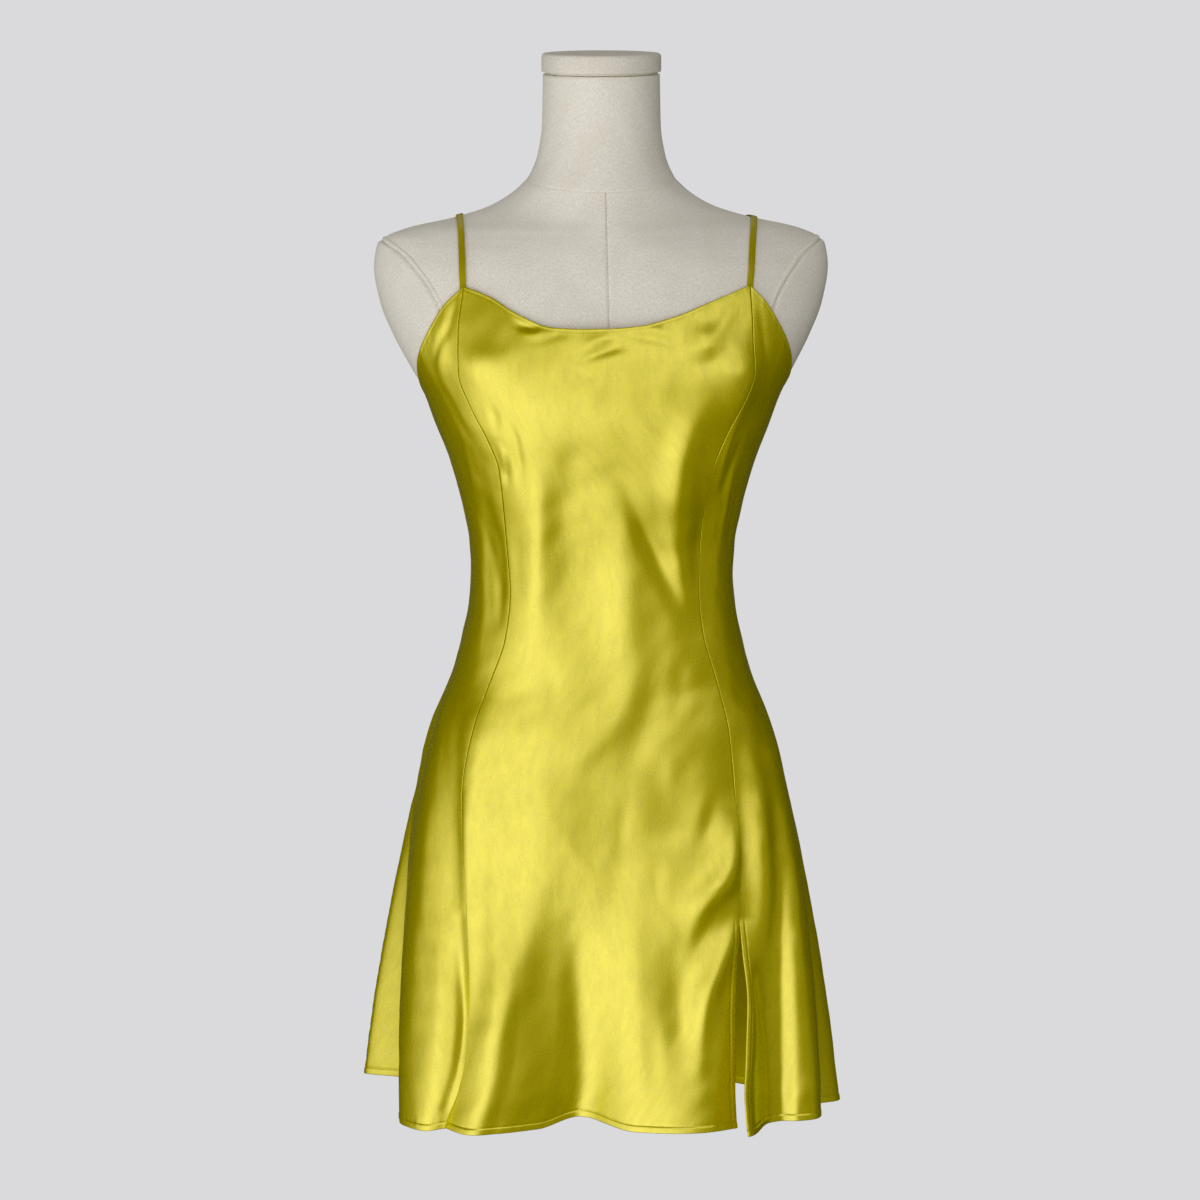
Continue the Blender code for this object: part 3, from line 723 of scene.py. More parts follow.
FOLDS = {
    "front_panel": [
        # the neckline stands off the chest, where the cloth bridges from strap to strap
        Fold(3.0, 30, [(-78, 722), (-30, 718), (20, 719), (75, 726)]),
        # pulls under the neckline and the soft dents below them
        Fold(-1.1, 3.5, [(-86, 729), (-79, 722), (-70, 720), (-58, 720)], first=0.2),
        Fold(0.6, 3.5, [(-80, 718), (-68, 714), (-55, 717)]),
        Fold(-0.5, 4.0, [(-73, 707), (-58, 709), (-44, 713), (-27, 713)], last=0.2),
        Fold(-0.9, 4.0, [(3, 714), (20, 712), (35, 710), (52, 706), (66, 703)], first=0.2),
        Fold(0.5, 3.5, [(24, 719), (42, 717), (58, 711)]),
        Fold(-1.9, 5.5, [(-36, 693), (-22, 694), (-9, 699), (8, 703), (26, 700)]),
        Fold(0.7, 5.0, [(-26, 702), (-12, 707), (6, 710)]),
        Fold(-1.1, 5.5, [(-46, 688), (-32, 681), (-16, 678), (-4, 682)]),
        Fold(-0.9, 11.0, [(62, 702), (88, 722), (110, 742)], last=0.3),
        Fold(0.7, 6.0, [(88, 706), (102, 724), (114, 742)], last=0.3),
        # tension lines from the left cup down to the waist
        Fold(-1.1, 4.5, [(-105, 655), (-101, 642), (-99, 624)]),
        Fold(-1.5, 4.5, [(-95, 652), (-86, 632), (-81, 612), (-78, 592), (-77, 568)]),
        Fold(1.0, 3.5, [(-97, 622), (-93, 604), (-90, 588)]),
        Fold(-1.3, 3.5, [(-92, 610), (-90, 594), (-90, 577)]),
        Fold(-0.7, 6.0, [(-80, 566), (-79, 530), (-78, 496), (-79, 462)]),
        Fold(1.6, 9.0, [(-60, 610), (-60, 575), (-62, 545), (-62, 500), (-63, 456), (-66, 415)]),
        # the front hangs from the bust in one long line
        Fold(3.6, 38, [(-22, 560), (0, 557), (26, 561), (50, 572)], first=1.0, last=1.0),
        Fold(-3.0, 20.0, [(-30, 640), (-33, 605), (-36, 560), (-38, 510)]),
        Fold(4.2, 20.0, [(9, 595), (12, 545), (15, 485), (13, 430), (2, 375)]),
        Fold(-0.8, 7.0, [(-53, 432), (-50, 400), (-46, 372)]),
        # the deep drag line from under the bust to the right hip, and the ridge beside it
        Fold(-3.2, 8.5, [
            (5, 594), (17, 572), (33, 534), (49, 501), (63, 471), (77, 445),
        ], first=0.1, last=0.1),
        Fold(1.2, 7.5, [(46, 560), (58, 524), (68, 496), (76, 474)]),
        Fold(3.0, 14.0, [(84, 728), (84, 706), (87, 686)], first=0.3),
        Fold(5.0, 15.0, [
            (98, 680), (86, 654), (72, 628), (63, 600), (62, 566), (68, 522), (78, 480),
        ], first=0.2, last=0.4),
        # across the belly
        Fold(4.5, 36.0, [(-60, 340), (-64, 280), (-62, 215), (-58, 140)]),
        Fold(3.2, 15.0, [(-50, 322), (-28, 338), (-6, 358), (13, 382), (26, 412), (32, 446)]),
        Fold(-1.4, 12.0, [(0, 318), (22, 342), (40, 374), (50, 412)]),
        Fold(-0.6, 8.0, [(66, 432), (64, 400), (63, 368)]),
        Fold(0.6, 9.0, [(52, 350), (56, 320), (54, 290)]),
        Fold(-0.5, 7.0, [(20, 322), (12, 280), (8, 238)]),
        Fold(-0.5, 7.0, [(40, 262), (42, 228), (41, 190)]),
        # the flutes of the skirt
        Fold(4.5, 18.0, [(-62, 245), (-71, 200), (-84, 150), (-94, 116), (-116, 75), (-130, 40)], last=0.3),
        Fold(-2.4, 14.0, [(-30, 205), (-27, 150), (-29, 100), (-32, 40)], last=0.3),
        Fold(4.0, 22.0, [(4, 225), (6, 160), (4, 90), (0, 30)], last=0.6),
        Fold(-1.3, 9.0, [(36, 118), (38, 70), (39, 22)], last=0.3),
        Fold(-6.5, 20.0, [(54, 205), (61, 160), (64, 100), (66, 20)], last=0.1),
        Fold(-3.5, 24.0, [(62, 345), (60, 290), (56, 235)]),
        # short S-shaped folds that the slit lets go of
        Fold(-1.6, 8.0, [(97, 312), (93, 290), (88, 268), (79, 247)]),
        Fold(10.0, 16.0, [(119, 284), (112, 252), (101, 225), (81, 204), (56, 189)], first=0.3),
        Fold(-2.0, 8.0, [(104, 222), (92, 196), (80, 172), (70, 148)]),
        Fold(6.5, 11.0, [(121, 218), (113, 188), (98, 152), (84, 118), (78, 70)], first=0.2, last=0.2),
        Fold(-1.0, 8.0, [(96, 120), (90, 76), (90, 28)], last=0.3),
    ],
    "side_front_left": [
        Fold(2.2, 8.0, [(-141, 740), (-147, 708), (-146, 672)], first=0.2),
        Fold(-5.0, 6.0, [(-131, 190), (-130, 145), (-129, 100), (-134, 60), (-145, 26)], first=0.3, last=0.3),
        Fold(-1.2, 4.0, [(-133, 742), (-138, 724), (-141, 703)], first=0.2),
        Fold(-1.3, 4.5, [(-138, 726), (-146, 707), (-154, 683)]),
        Fold(-0.7, 8.0, [(-121, 640), (-111, 590), (-105, 534), (-104, 480)]),
        Fold(0.6, 5.0, [(-134, 640), (-122, 596), (-114, 548)]),
        Fold(1.4, 12.0, [(-150, 212), (-152, 118), (-160, 22)], last=0.2),
        Fold(-1.0, 9.0, [(-136, 190), (-138, 110), (-146, 24)], last=0.2),
        Fold(0.8, 9.0, [(-128, 430), (-142, 380), (-152, 320)]),
    ],
    "side_front_right": [
        Fold(-0.7, 4.0, [(133, 741), (137, 715), (141, 683)], first=0.2),
        Fold(1.5, 4.0, [(118, 652), (109, 626), (100, 595), (96, 560)]),
        Fold(-1.4, 4.5, [(122, 632), (109, 594), (97, 560)]),
        Fold(1.3, 4.0, [(114, 613), (106, 561), (99, 507)]),
        Fold(-0.7, 5.0, [(122, 596), (113, 548), (108, 500)]),
        Fold(-2.4, 12.0, [(128, 200), (134, 140), (140, 90), (144, 40)], last=0.1),
        Fold(7.5, 13.0, [(128, 360), (133, 305), (136, 258), (138, 218), (137, 165), (136, 120)]),
        Fold(10.0, 17.0, [
            (150, 330), (157, 270), (163, 215), (168, 150), (173, 90), (177, 36),
        ], first=0.3, last=0.5),
        Fold(0.8, 8.0, [(118, 440), (128, 396), (138, 346)]),
    ],
    "back_panel": [
        Fold(-0.9, 9.0, [(62, 640), (56, 590), (52, 530)]),
        Fold(1.0, 10.0, [(34, 610), (28, 550), (30, 480)]),
        Fold(-1.2, 9.0, [(-24, 600), (-30, 548), (-44, 492), (-60, 450)]),
        Fold(1.1, 9.0, [(-66, 620), (-60, 560), (-64, 500)]),
        Fold(-1.0, 13.0, [(70, 380), (42, 352), (10, 350), (-24, 372)]),
        Fold(0.9, 12.0, [(52, 320), (16, 304), (-30, 318)]),
        Fold(1.6, 15.0, [(30, 230), (26, 150), (22, 50)], last=0.2),
        Fold(-1.4, 12.0, [(100, 236), (102, 150), (100, 50)], last=0.2),
        Fold(-1.5, 14.0, [(-44, 220), (-44, 130), (-40, 40)], last=0.2),
        Fold(1.3, 12.0, [(-100, 260), (-108, 170), (-114, 60)], last=0.1),
        Fold(-0.8, 5.0, [(84, 650), (76, 636), (70, 616)]),
        Fold(-0.8, 5.0, [(-88, 652), (-80, 636), (-76, 612)]),
    ],
}
print("folds:", len(SHAPING) + sum(len(folds) for folds in FOLDS.values()))


# %% Laying folds on the cloth
FOLD_REACH = 3             # half widths, after which a fold has faded out
FOLD_FADE = 0.45           # share of a fold's length over which each end fades


def bent_path(path, pieces=6):
    """A smooth line through a fold's few points (Catmull-Rom)."""
    p = np.array(path, float) * MM
    p = np.concatenate([[2 * p[0] - p[1]], p, [2 * p[-1] - p[-2]]])
    t = np.linspace(0, 1, pieces + 1)[:-1, None]
    line = [
        0.5 * (2 * b + (c - a) * t + (2 * a - 5 * b + 4 * c - d) * t ** 2 + (3 * b - a - 3 * c + d) * t ** 3)
        for a, b, c, d in zip(p, p[1:], p[2:], p[3:])
    ]
    return np.concatenate([*line, p[-2:-1]])


def laid_on(points, line):
    """Gives each point of a line the depth of the cloth there, from the four nearest points."""
    laid = []
    for x, z in line:
        off = (points[:, 0] - x) ** 2 + (points[:, 2] - z) ** 2
        near = np.argpartition(off, 4)[:4]
        weight = 1 / (off[near] + 1e-8)
        laid.append((x, float((points[near, 1] * weight).sum() / weight.sum()), z))
    return np.array(laid)


def laid_on_front(points, line):
    """The same for a line that crosses panels: it lies on the plain front of the dress."""
    return dress.point(dress.angle_at(line[:, 0], line[:, 1]), line[:, 1])


def nearest_on(line, points):
    """Distance from each point to a line, and how far along the line that is, from 0 to 1."""
    best, along = np.full(len(points), 1e9), np.zeros(len(points))
    walked = np.concatenate([[0.0], np.cumsum(np.linalg.norm(np.diff(line, axis=0), axis=1))])
    for a, b, start, end in zip(line, line[1:], walked, walked[1:]):
        step = b - a
        t = np.clip(((points - a) @ step) / max(step @ step, 1e-12), 0, 1)
        off = np.linalg.norm(points - a - t[:, None] * step, axis=1)
        closer = off < best
        best[closer] = off[closer]
        along[closer] = (start + (end - start) * t[closer]) / walked[-1]
    return best, along


def smooth_step(low, high, value):
    t = np.clip((value - low) / (high - low), 0, 1)
    return t * t * (3 - 2 * t)


def fold_relief(grid, folds, lay=laid_on):
    """How far the folds move each point of a panel out, in metres."""
    points = grid.points.reshape(-1, 3)
    relief = np.zeros(len(points))
    for fold in folds:
        line = lay(points, bent_path(fold.path))
        reach = FOLD_REACH * fold.width * MM
        near = np.all((points > line.min(0) - reach) & (points < line.max(0) + reach), axis=1)
        off, along = nearest_on(line, points[near])
        first = fold.first + (1 - fold.first) * smooth_step(0, FOLD_FADE, along)
        last = fold.last + (1 - fold.last) * smooth_step(1, 1 - FOLD_FADE, along)
        relief[near] += fold.depth * MM * np.minimum(first, last) * np.exp(-(off / (fold.width * MM)) ** 2)
    return relief.reshape(grid.points.shape[:2])


# %% [markdown]
# ## Edges as they are sewn
#
# A seam is two rolled lips that meet in a groove. A free edge is turned under: it ends in a tight fold, rises
# a little where the cloth lies double, dips where the stitches pull it down, and puckers along them. Writing
# both as a height over the distance from the edge keeps them equal all round the dress.

# %% Edge relief
LIP_RADIUS = 0.6 * MM
TURN_RADIUS = 0.75 * MM
HEM_BAND = 6.2 * MM
TOP_BAND = 2.6 * MM
SLIT_BAND = 5.6 * MM
DOUBLE_RISE = 0.40 * MM
RISE_START = 0.2 * MM      # the double cloth starts this far past its stitches
RISE_FULL = 0.9 * MM       # and lies at its full height this far before them
STITCH_DIP = 0.35 * MM
STITCH_DIP_WIDTH = 0.6 * MM
TOP_STRENGTH = 0.35        # neckline and armholes are pressed flatter than the hem
PUCKER = 0.16 * MM
PUCKER_WIDTH = 3.5 * MM    # how far a pucker spreads from the stitches
PUCKER_WAVES = (6.5, 10.0, 17.0)   # millimetres from crest to crest
SEAM_PUCKER = 0.6          # share of it that is left beside a seam
SEAM_PUCKER_WIDTH = 4 * MM
SLIT_SEAM_ENDS = SLIT_TOP + 2 * MM     # from here down the closed seam turns into a free edge
SLIT_EDGE_STARTS = SLIT_TOP - 8 * MM

rng = np.random.default_rng(11)


def rolled(distance, radius):
    """Depth of an edge that rolls in over its last stretch as a quarter circle."""
    t = np.clip(1 - distance / radius, 0, 1)
    return radius * (1 - np.sqrt(np.maximum(1 - t * t, 0)))


def pucker(along):
    """Uneven little waves along a row of stitches."""
    waves = [np.sin(2 * pi * along / (wave * MM) + rng.uniform(0, 2 * pi)) for wave in PUCKER_WAVES]
    return sum(waves) / len(waves)


def turned_edge(distance, along, band, strength=1.0):
    """Relief of an edge that is turned under and stitched at the width of its band."""
    rise = strength * DOUBLE_RISE * smooth_step(band + RISE_START, band - RISE_FULL, distance)
    dip = strength * STITCH_DIP * np.exp(-((distance - band) / STITCH_DIP_WIDTH) ** 2)
    waves = PUCKER * pucker(along) * np.exp(-((distance - band) / PUCKER_WIDTH) ** 2)
    return rise - dip + waves - rolled(distance, TURN_RADIUS)


def seam_lip(distance, along):
    """Relief of one side of a closed seam."""
    waves = SEAM_PUCKER * PUCKER * pucker(along) * np.exp(-distance / SEAM_PUCKER_WIDTH)
    return waves - rolled(distance, LIP_RADIUS)


def edge_relief(panel, grid):
    """Relief of all four edges of a panel; the slit is a seam above and a turned edge below."""
    height = grid.points[..., 2]
    relief = turned_edge(grid.hem, grid.across[0], HEM_BAND)
    relief += turned_edge(grid.top, grid.across[-1], TOP_BAND, TOP_STRENGTH)
    slit_side = {"front_panel": "right", "side_front_right": "left"}.get(panel.name)
    for side in ("left", "right"):
        distance = getattr(grid, side)
        closed = seam_lip(distance, height)
        if side == slit_side:
            free = smooth_step(SLIT_SEAM_ENDS, SLIT_EDGE_STARTS, height)
            closed = closed * (1 - free) + turned_edge(distance, height, SLIT_BAND) * free
        relief = relief + closed
    return relief


# %% [markdown]
# ## Making the cloth
#
# Each panel becomes one thin sheet: the grid's points, moved along their normals by the folds, the edges and
# a faint unevenness, then given a wall of 0.7 mm on the inside. The inner wall takes the duller reverse of
# the satin. The UV map is laid out in metres, along and across the cloth, for the weave.

# %% Panel meshes
SHEET_WALL = 0.7 * MM
UNEVEN = 0.16 * MM
UNEVEN_WAVES = 18
UNEVEN_LENGTHS = (22, 70)  # millimetres, the shortest and the longest wave
DEEPEST = 3.6 * MM         # deepest trough where the cloth lies over the form
FREE_BELOW = HIP_LINE - 0.12   # under this height a trough may be as deep as it likes


def uneven(grid):
    """A faint wander of the cloth: a sum of slow waves that run in random directions."""
    total = np.zeros(grid.across.shape)
    for _ in range(UNEVEN_WAVES):
        wave = 2 * pi / (rng.uniform(*UNEVEN_LENGTHS) * MM)
        way = rng.uniform(0, pi)
        total += np.sin(wave * (cos(way) * grid.across + sin(way) * grid.hem) + rng.uniform(0, 2 * pi))
    return UNEVEN * total / np.sqrt(UNEVEN_WAVES)


def add_mesh(name, points, faces, materials, uv=None):
    """A smooth mesh piece at the origin, with its UV map given for each point."""
    mesh = bpy.data.meshes.new(name)
    mesh.from_pydata(points.reshape(-1, 3).tolist(), [], faces)
    mesh.shade_smooth()
    for finish in materials:
        mesh.materials.append(finish)
    if uv is not None:
        corners = np.zeros(len(mesh.loops), int)
        mesh.loops.foreach_get("vertex_index", corners)
        layer = mesh.uv_layers.new(name="cloth_metres")
        layer.data.foreach_set("uv", uv.reshape(-1, 2)[corners].astype(np.float32).ravel())
    made = bpy.data.objects.new(name, mesh)
    bpy.context.scene.collection.objects.link(made)
    return made


def grid_faces(rows, columns, closed=False):
    """Faces of a grid stored row by row, counter-clockwise from outside."""
    faces = []
    for j in range(rows - 1):
        for i in range(columns if closed else columns - 1):
            beside = (i + 1) % columns
            below, above = j * columns, (j + 1) * columns
            faces.append((below + i, below + beside, above + beside, above + i))
    return faces


def add_wall(piece, thickness):
    wall = piece.modifiers.new("wall", "SOLIDIFY")
    wall.thickness = thickness
    wall.offset = -1.0
    wall.use_even_offset = True
    wall.material_offset = 1


def clear_of_form(relief, height):
    """Lets a trough go no deeper than the air that there is over the form."""
    over_form = smooth_step(FREE_BELOW, HIP_LINE, height)
    softened = -DEEPEST * np.tanh(np.maximum(-relief, 0) / DEEPEST)
    return np.where(relief < 0, relief + (softened - relief) * over_form, relief)


def panel_surface(panel):
    """Outer face of a panel with its folds and edges."""
    grid = grids[panel.name]
    relief = fold_relief(grid, FOLDS[panel.name]) + fold_relief(grid, SHAPING, laid_on_front)
    relief = clear_of_form(relief, grid.points[..., 2])
    relief += edge_relief(panel, grid) + uneven(grid)
    return grid.points + grid.normals * relief[..., None]


surfaces = {panel.name: panel_surface(panel) for panel in PANELS}
print("surfaces:", {name: points.shape[:2] for name, points in surfaces.items()})

# %% [markdown]
# ## Satin
#
# Satin floats each thread over several others, so the surface is a sheet of smooth parallel fibres. It shines
# almost like metal in its own colour, with a wide soft highlight that is a little longer along the threads.
# A Principled shader with a good share of metallic gives that coloured shine, a medium roughness spreads it,
# and the rest stays cloth. The reverse shows the short side of the weave and is duller.

# %% Satin materials
THREAD_SPACING = 1.1 * MM  # real threads are ten times finer; drawn as coarse as they still show
SLUB_SPACING = 7.0 * MM    # slow wander of the threads, which breaks up the shine
THREAD_STRETCH = 0.35      # the pattern's scale along a thread, against 1 across it


def cloth_grain(tree):
    """Fine streaks along both threads and a slow wander: their share from 0 to 1, and their height."""
    place = add_node(tree, "ShaderNodeUVMap", uv_map="cloth_metres")
    streaks = []
    for turn, spacing in ((6.0, THREAD_SPACING), (96.0, THREAD_SPACING), (50.0, SLUB_SPACING)):
        turned = add_node(
            tree, "ShaderNodeMapping",
            {"Rotation": (0, 0, radians(turn)), "Scale": (1.0, THREAD_STRETCH, 1.0)},
            {"Vector": place.outputs["UV"]},
        )
        streaks.append(add_node(
            tree, "ShaderNodeTexNoise", {"Scale": 1 / spacing, "Detail": 3.0, "Roughness": 0.65},
            {"Vector": turned},
        ))
    threads = add_node(tree, "ShaderNodeMath", None, {0: streaks[0], 1: streaks[1]}, operation="ADD")
    wander = add_node(tree, "ShaderNodeMath", {1: 1.5}, {0: streaks[2]}, operation="MULTIPLY")
    both = add_node(tree, "ShaderNodeMath", None, {0: threads, 1: wander}, operation="ADD")
    share = add_node(tree, "ShaderNodeMapRange", {"From Min": 1.25, "From Max": 2.25}, {"Value": both})
    return share, both


def make_satin(name, light, dark, metallic, roughness, spread, values):
    made, tree, output = new_material(name)
    streaks, height = cloth_grain(tree)
    tint = add_node(tree, "ShaderNodeValToRGB", None, {"Fac": streaks}, [(0, dark), (1, light)])
    gloss = add_node(
        tree, "ShaderNodeMapRange", {"To Min": roughness + spread, "To Max": roughness - spread},
        {"Value": streaks},
    )
    links = {"Base Color": tint, "Roughness": gloss}
    end_material(tree, output, height, 0.7, 0.1 * MM, {"Metallic": metallic, **values}, links)
    return made


FACE = {                   # the long floats: a strong, slightly greenish reflection and a soft second one
    "IOR": 2.2, "Specular IOR Level": 0.5, "Specular Tint": colour("#e6ffc4"),
    "Coat Weight": 0.4, "Coat Roughness": 0.27, "Coat IOR": 2.4,
    "Sheen Weight": 0.06, "Sheen Roughness": 0.45, "Sheen Tint": colour("#fff6e6"),
}
REVERSE = {"IOR": 1.5, "Sheen Weight": 0.1}    # the short floats: plain dull cloth
satin_face = make_satin("yellow_satin_face", "#e2d208", "#cebe03", 0.55, 0.26, 0.05, FACE)
satin_reverse = make_satin("yellow_satin_reverse", "#d6c814", "#cabb0c", 0.15, 0.55, 0.05, REVERSE)
# The straps are the same yellow satin, with the dull values of its reverse; their darker olive colour is
# painted shade.
strap_satin = make_satin("olive_satin_strap", "#aa9c16", "#9c8d10", 0.2, 0.5, 0.04, REVERSE)
print("satins:", satin_face.name, satin_reverse.name, strap_satin.name)

# %% Dressing the panels
dress_pieces = {}
for panel in PANELS:
    surface, grid = surfaces[panel.name], grids[panel.name]
    piece = add_mesh(
        panel.name + "_satin", surface, grid_faces(*surface.shape[:2]), [satin_face, satin_reverse],
        np.stack([grid.across, grid.hem], axis=-1),
    )
    add_wall(piece, SHEET_WALL)
    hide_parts(panel.name)
    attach(piece, "root")
    dress_pieces[panel.name] = piece
    print(piece.name, len(piece.data.polygons), "faces")

# %% [markdown]
# ## Seam allowances
#
# Past each line of stitches a few millimetres of cloth are pressed open on the inside. They are seen through
# the slit and under the hem, they keep light out of the seams, and they are what makes a seam lie flat. Each
# pair is one ribbon that follows the two panels' own points, just inside their walls.

# %% Pressed seam allowances
ALLOWANCE_ROWS = [         # grid columns counted from the seam, and millimetres inside the outer face there
    (10, 1.0),
    (7, 1.05),
    (4, 1.3),
]
ALLOWANCE_WALL = 0.25 * MM
ALLOWANCE_STEP = 4 * MM
Seam = namedtuple("Seam", "left_panel right_panel lowest")
SEAMS = {
    "left_princess": Seam("side_front_left", "front_panel", 0.0),
    "right_princess": Seam("front_panel", "side_front_right", SLIT_TOP - 4 * MM),
    "right_side": Seam("side_front_right", "back_panel", 0.0),
    "left_side": Seam("back_panel", "side_front_left", 0.0),
}


def edge_line(name, column, depth, heights):
    """A panel's surface along one grid column, moved inwards, read at given heights."""
    line = surfaces[name][:, column] - grids[name].normals[:, column] * depth * MM
    return np.stack([np.interp(heights, line[:, 2], line[:, axis]) for axis in range(3)], axis=-1)


def add_allowance(name, seam):
    edges = [surfaces[seam.left_panel][:, -1, 2], surfaces[seam.right_panel][:, 0, 2]]
    low = max(seam.lowest, max(edge.min() for edge in edges) + 0.5 * MM)
    top = min(edge.max() for edge in edges) - 1.0 * MM
    heights = np.linspace(low, top, int((top - low) / ALLOWANCE_STEP))
    lines = [edge_line(seam.left_panel, -1 - column, depth, heights) for column, depth in ALLOWANCE_ROWS]
    lines += [edge_line(seam.right_panel, column, depth, heights) for column, depth in ALLOWANCE_ROWS[::-1]]
    points = np.stack(lines, axis=1)
    across, up = lengths(points, 1), lengths(points, 0)
    piece = add_mesh(
        "seam_" + name, points, grid_faces(*points.shape[:2]), [satin_reverse, satin_reverse],
        np.stack([across, up], axis=-1),
    )
    add_wall(piece, ALLOWANCE_WALL)
    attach(piece, "root")
    return piece


allowances = {name: add_allowance(name, seam) for name, seam in SEAMS.items()}
print(len(allowances), "seams pressed open")

# %% [markdown]
# ## The straps
#
# Each strap is a narrow tube of satin turned inside out and pressed flat. It leaves from behind the strap
# point, lies on the shoulder and goes down to the back edge, so its path is read from the form itself. A
# small rounded ring is carried along that path: a curve with a bevel would twist on the shoulder, a ring that
# keeps to the form's own normal does not.

# %% Straps
Strap = namedtuple("Strap", "front_x shoulder_x back_x")
STRAPS = {
    "strap_left": Strap(-0.1265, -0.1270, -0.1080),
    "strap_right": Strap(0.1265, 0.1365, 0.1080),
}
STRAP_WIDTH = 5.8 * MM
STRAP_THICKNESS = 1.1 * MM
STRAP_LIFT = 0.0008        # air under a strap where it crosses the shoulder
STRAP_FRONT_END = 0.7546
STRAP_BACK_END = 0.6646
STRAP_STEPS = 44           # rings from each end up to the shoulder
STRAP_TUCK = 9 * MM        # how far each end goes on behind its panel
TUCK_STEPS = 8             # rings of that hidden end
TUCK_LIFT = 1.1 * MM       # height of a tucked end over the form
SINK_TOP = 12 * MM         # above its end a strap starts to sink to that height
SINK_BOTTOM = 1 * MM       # below its end it has reached it
SHOULDER_LEVEL = 0.765     # where the form is widest
RING = 14                  # points round the strap


def shoulder_ridge(x):
    """Height at which the shoulder's outline passes x."""
    heights = np.linspace(NECK_TOP, SHOULDER_LEVEL, 2000)
    return float(np.interp(abs(x), form.half_width(heights), heights))


def strap_path(strap):
    """Middle line of a strap with the form's normals, from the front strap point to the back edge."""
    ridge = shoulder_ridge(strap.shoulder_x)
    middles, outs = [], []
    run = np.linspace(0, 1, STRAP_STEPS)
    tuck = np.linspace(1, 0.1, TUCK_STEPS)
    for end, end_x, behind in ((STRAP_FRONT_END, strap.front_x, False), (STRAP_BACK_END, strap.back_x, True)):
        x = end_x + (strap.shoulder_x - end_x) * run
        x = np.concatenate([np.full(TUCK_STEPS, end_x), x])
        height = ridge - (ridge - end) * (1 - run) ** 2
        height = np.concatenate([end - STRAP_TUCK * tuck, height])
        angle = form.angle_at(x, height, behind)
        air = STRAP_LIFT + (CLEARANCE - STRAP_LIFT) * np.concatenate([np.ones(TUCK_STEPS), (1 - run) ** 2])
        lift = air + STRAP_THICKNESS / 2
        sink = smooth_step(end + SINK_TOP, end - SINK_BOTTOM, height)
        lift = lift * (1 - sink) + TUCK_LIFT * sink
        out = form.normal(angle, height)
        middle = form.point(angle, height) + out * lift[:, None]
        if behind:
            middle, out = middle[:-1][::-1], out[:-1][::-1]
        middles.append(middle)
        outs.append(out)
    return np.concatenate(middles), np.concatenate(outs)


def add_strap(name, strap):
    middle, out = strap_path(strap)
    along = unit(np.gradient(middle, axis=0))
    side = unit(np.cross(along, out))
    out = np.cross(side, along)
    turn = 2 * pi * np.arange(RING) / RING
    wide = STRAP_WIDTH / 2 * np.sign(np.cos(turn)) * np.abs(np.cos(turn)) ** 0.5
    thick = STRAP_THICKNESS / 2 * np.sign(np.sin(turn)) * np.abs(np.sin(turn)) ** 0.8
    rings = middle[:, None] + side[:, None] * wide[:, None] + out[:, None] * thick[:, None]
    faces = grid_faces(len(rings), RING, closed=True)
    last = (len(rings) - 1) * RING
    faces += [tuple(reversed(range(RING))), tuple(range(last, last + RING))]
    uv = np.stack([np.broadcast_to(wide, rings.shape[:2]), lengths(rings, 0)], axis=-1)
    piece = add_mesh(name + "_satin", rings, faces, [strap_satin], uv)
    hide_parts(name)
    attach(piece, "root")
    return piece


straps = [add_strap(name, strap) for name, strap in STRAPS.items()]
print(len(straps), "straps,", len(straps[0].data.polygons), "faces each")

# %% [markdown]
# ## Rows of stitches
#
# Every turned edge is held by one row of lockstitch in a thread that matches the satin; it is drawn darker,
# as painted shade of the line where the stitches sink in. A sewing machine does one thing over and over along
# a
# line, and so does a Geometry Nodes tree: it walks each line, sets a stitch at every pitch, lays it along the
# line and flat on the cloth, and tilts it by a few degrees at random, as the slant of a real lockstitch
# varies. The lines come from the panels' own grid, at the width of each band.

# %% Lines to sew along
STITCH_PITCH = 2.7 * MM
STITCH_LENGTH = 2.1 * MM
THREAD_THICKNESS = 0.34 * MM
THREAD_LIFT = 0.06         # millimetres from the cloth to a stitch's middle
STITCH_SLANT = radians(7)  # the most that a stitch turns to either side
STITCH_SEED = 7
STITCH_SIDES, STITCH_RINGS = 6, 4
HEM_ROW = 10               # grid rows and columns that lie at the width of each band
TOP_ROW = -7
SLIT_COLUMN = 9
BETWEEN_SEAMS = slice(4, -4)       # a row of stitches starts and ends a few columns from the seams
SLIT_ROW_TOP = SLIT_TOP - 5 * MM


def panel_normals(points):
    """Outward direction of a folded panel at each of its points."""
    return unit(np.cross(np.gradient(points, axis=1), np.gradient(points, axis=0)))


def sewing_lines():
    """Points and outward directions of each row of stitches on the dress."""
    lines = []
    for name, points in surfaces.items():
        outward = panel_normals(points)
        for row in (HEM_ROW, TOP_ROW):
            lines.append((points[row, BETWEEN_SEAMS], outward[row, BETWEEN_SEAMS]))
    for name, column in (("front_panel", -1 - SLIT_COLUMN), ("side_front_right", SLIT_COLUMN)):
        points, outward = surfaces[name][:, column], panel_normals(surfaces[name])[:, column]
        open_part = (points[:, 2] < SLIT_ROW_TOP) & (np.arange(len(points)) > HEM_ROW)
        lines.append((points[open_part], outward[open_part]))
    return lines


# %% A tree that sews
def add_socket(tree, name, kind, value=None):
    socket = tree.interface.new_socket(name=name, in_out="INPUT", socket_type=kind)
    if value is not None:
        socket.default_value = value
    return socket.identifier


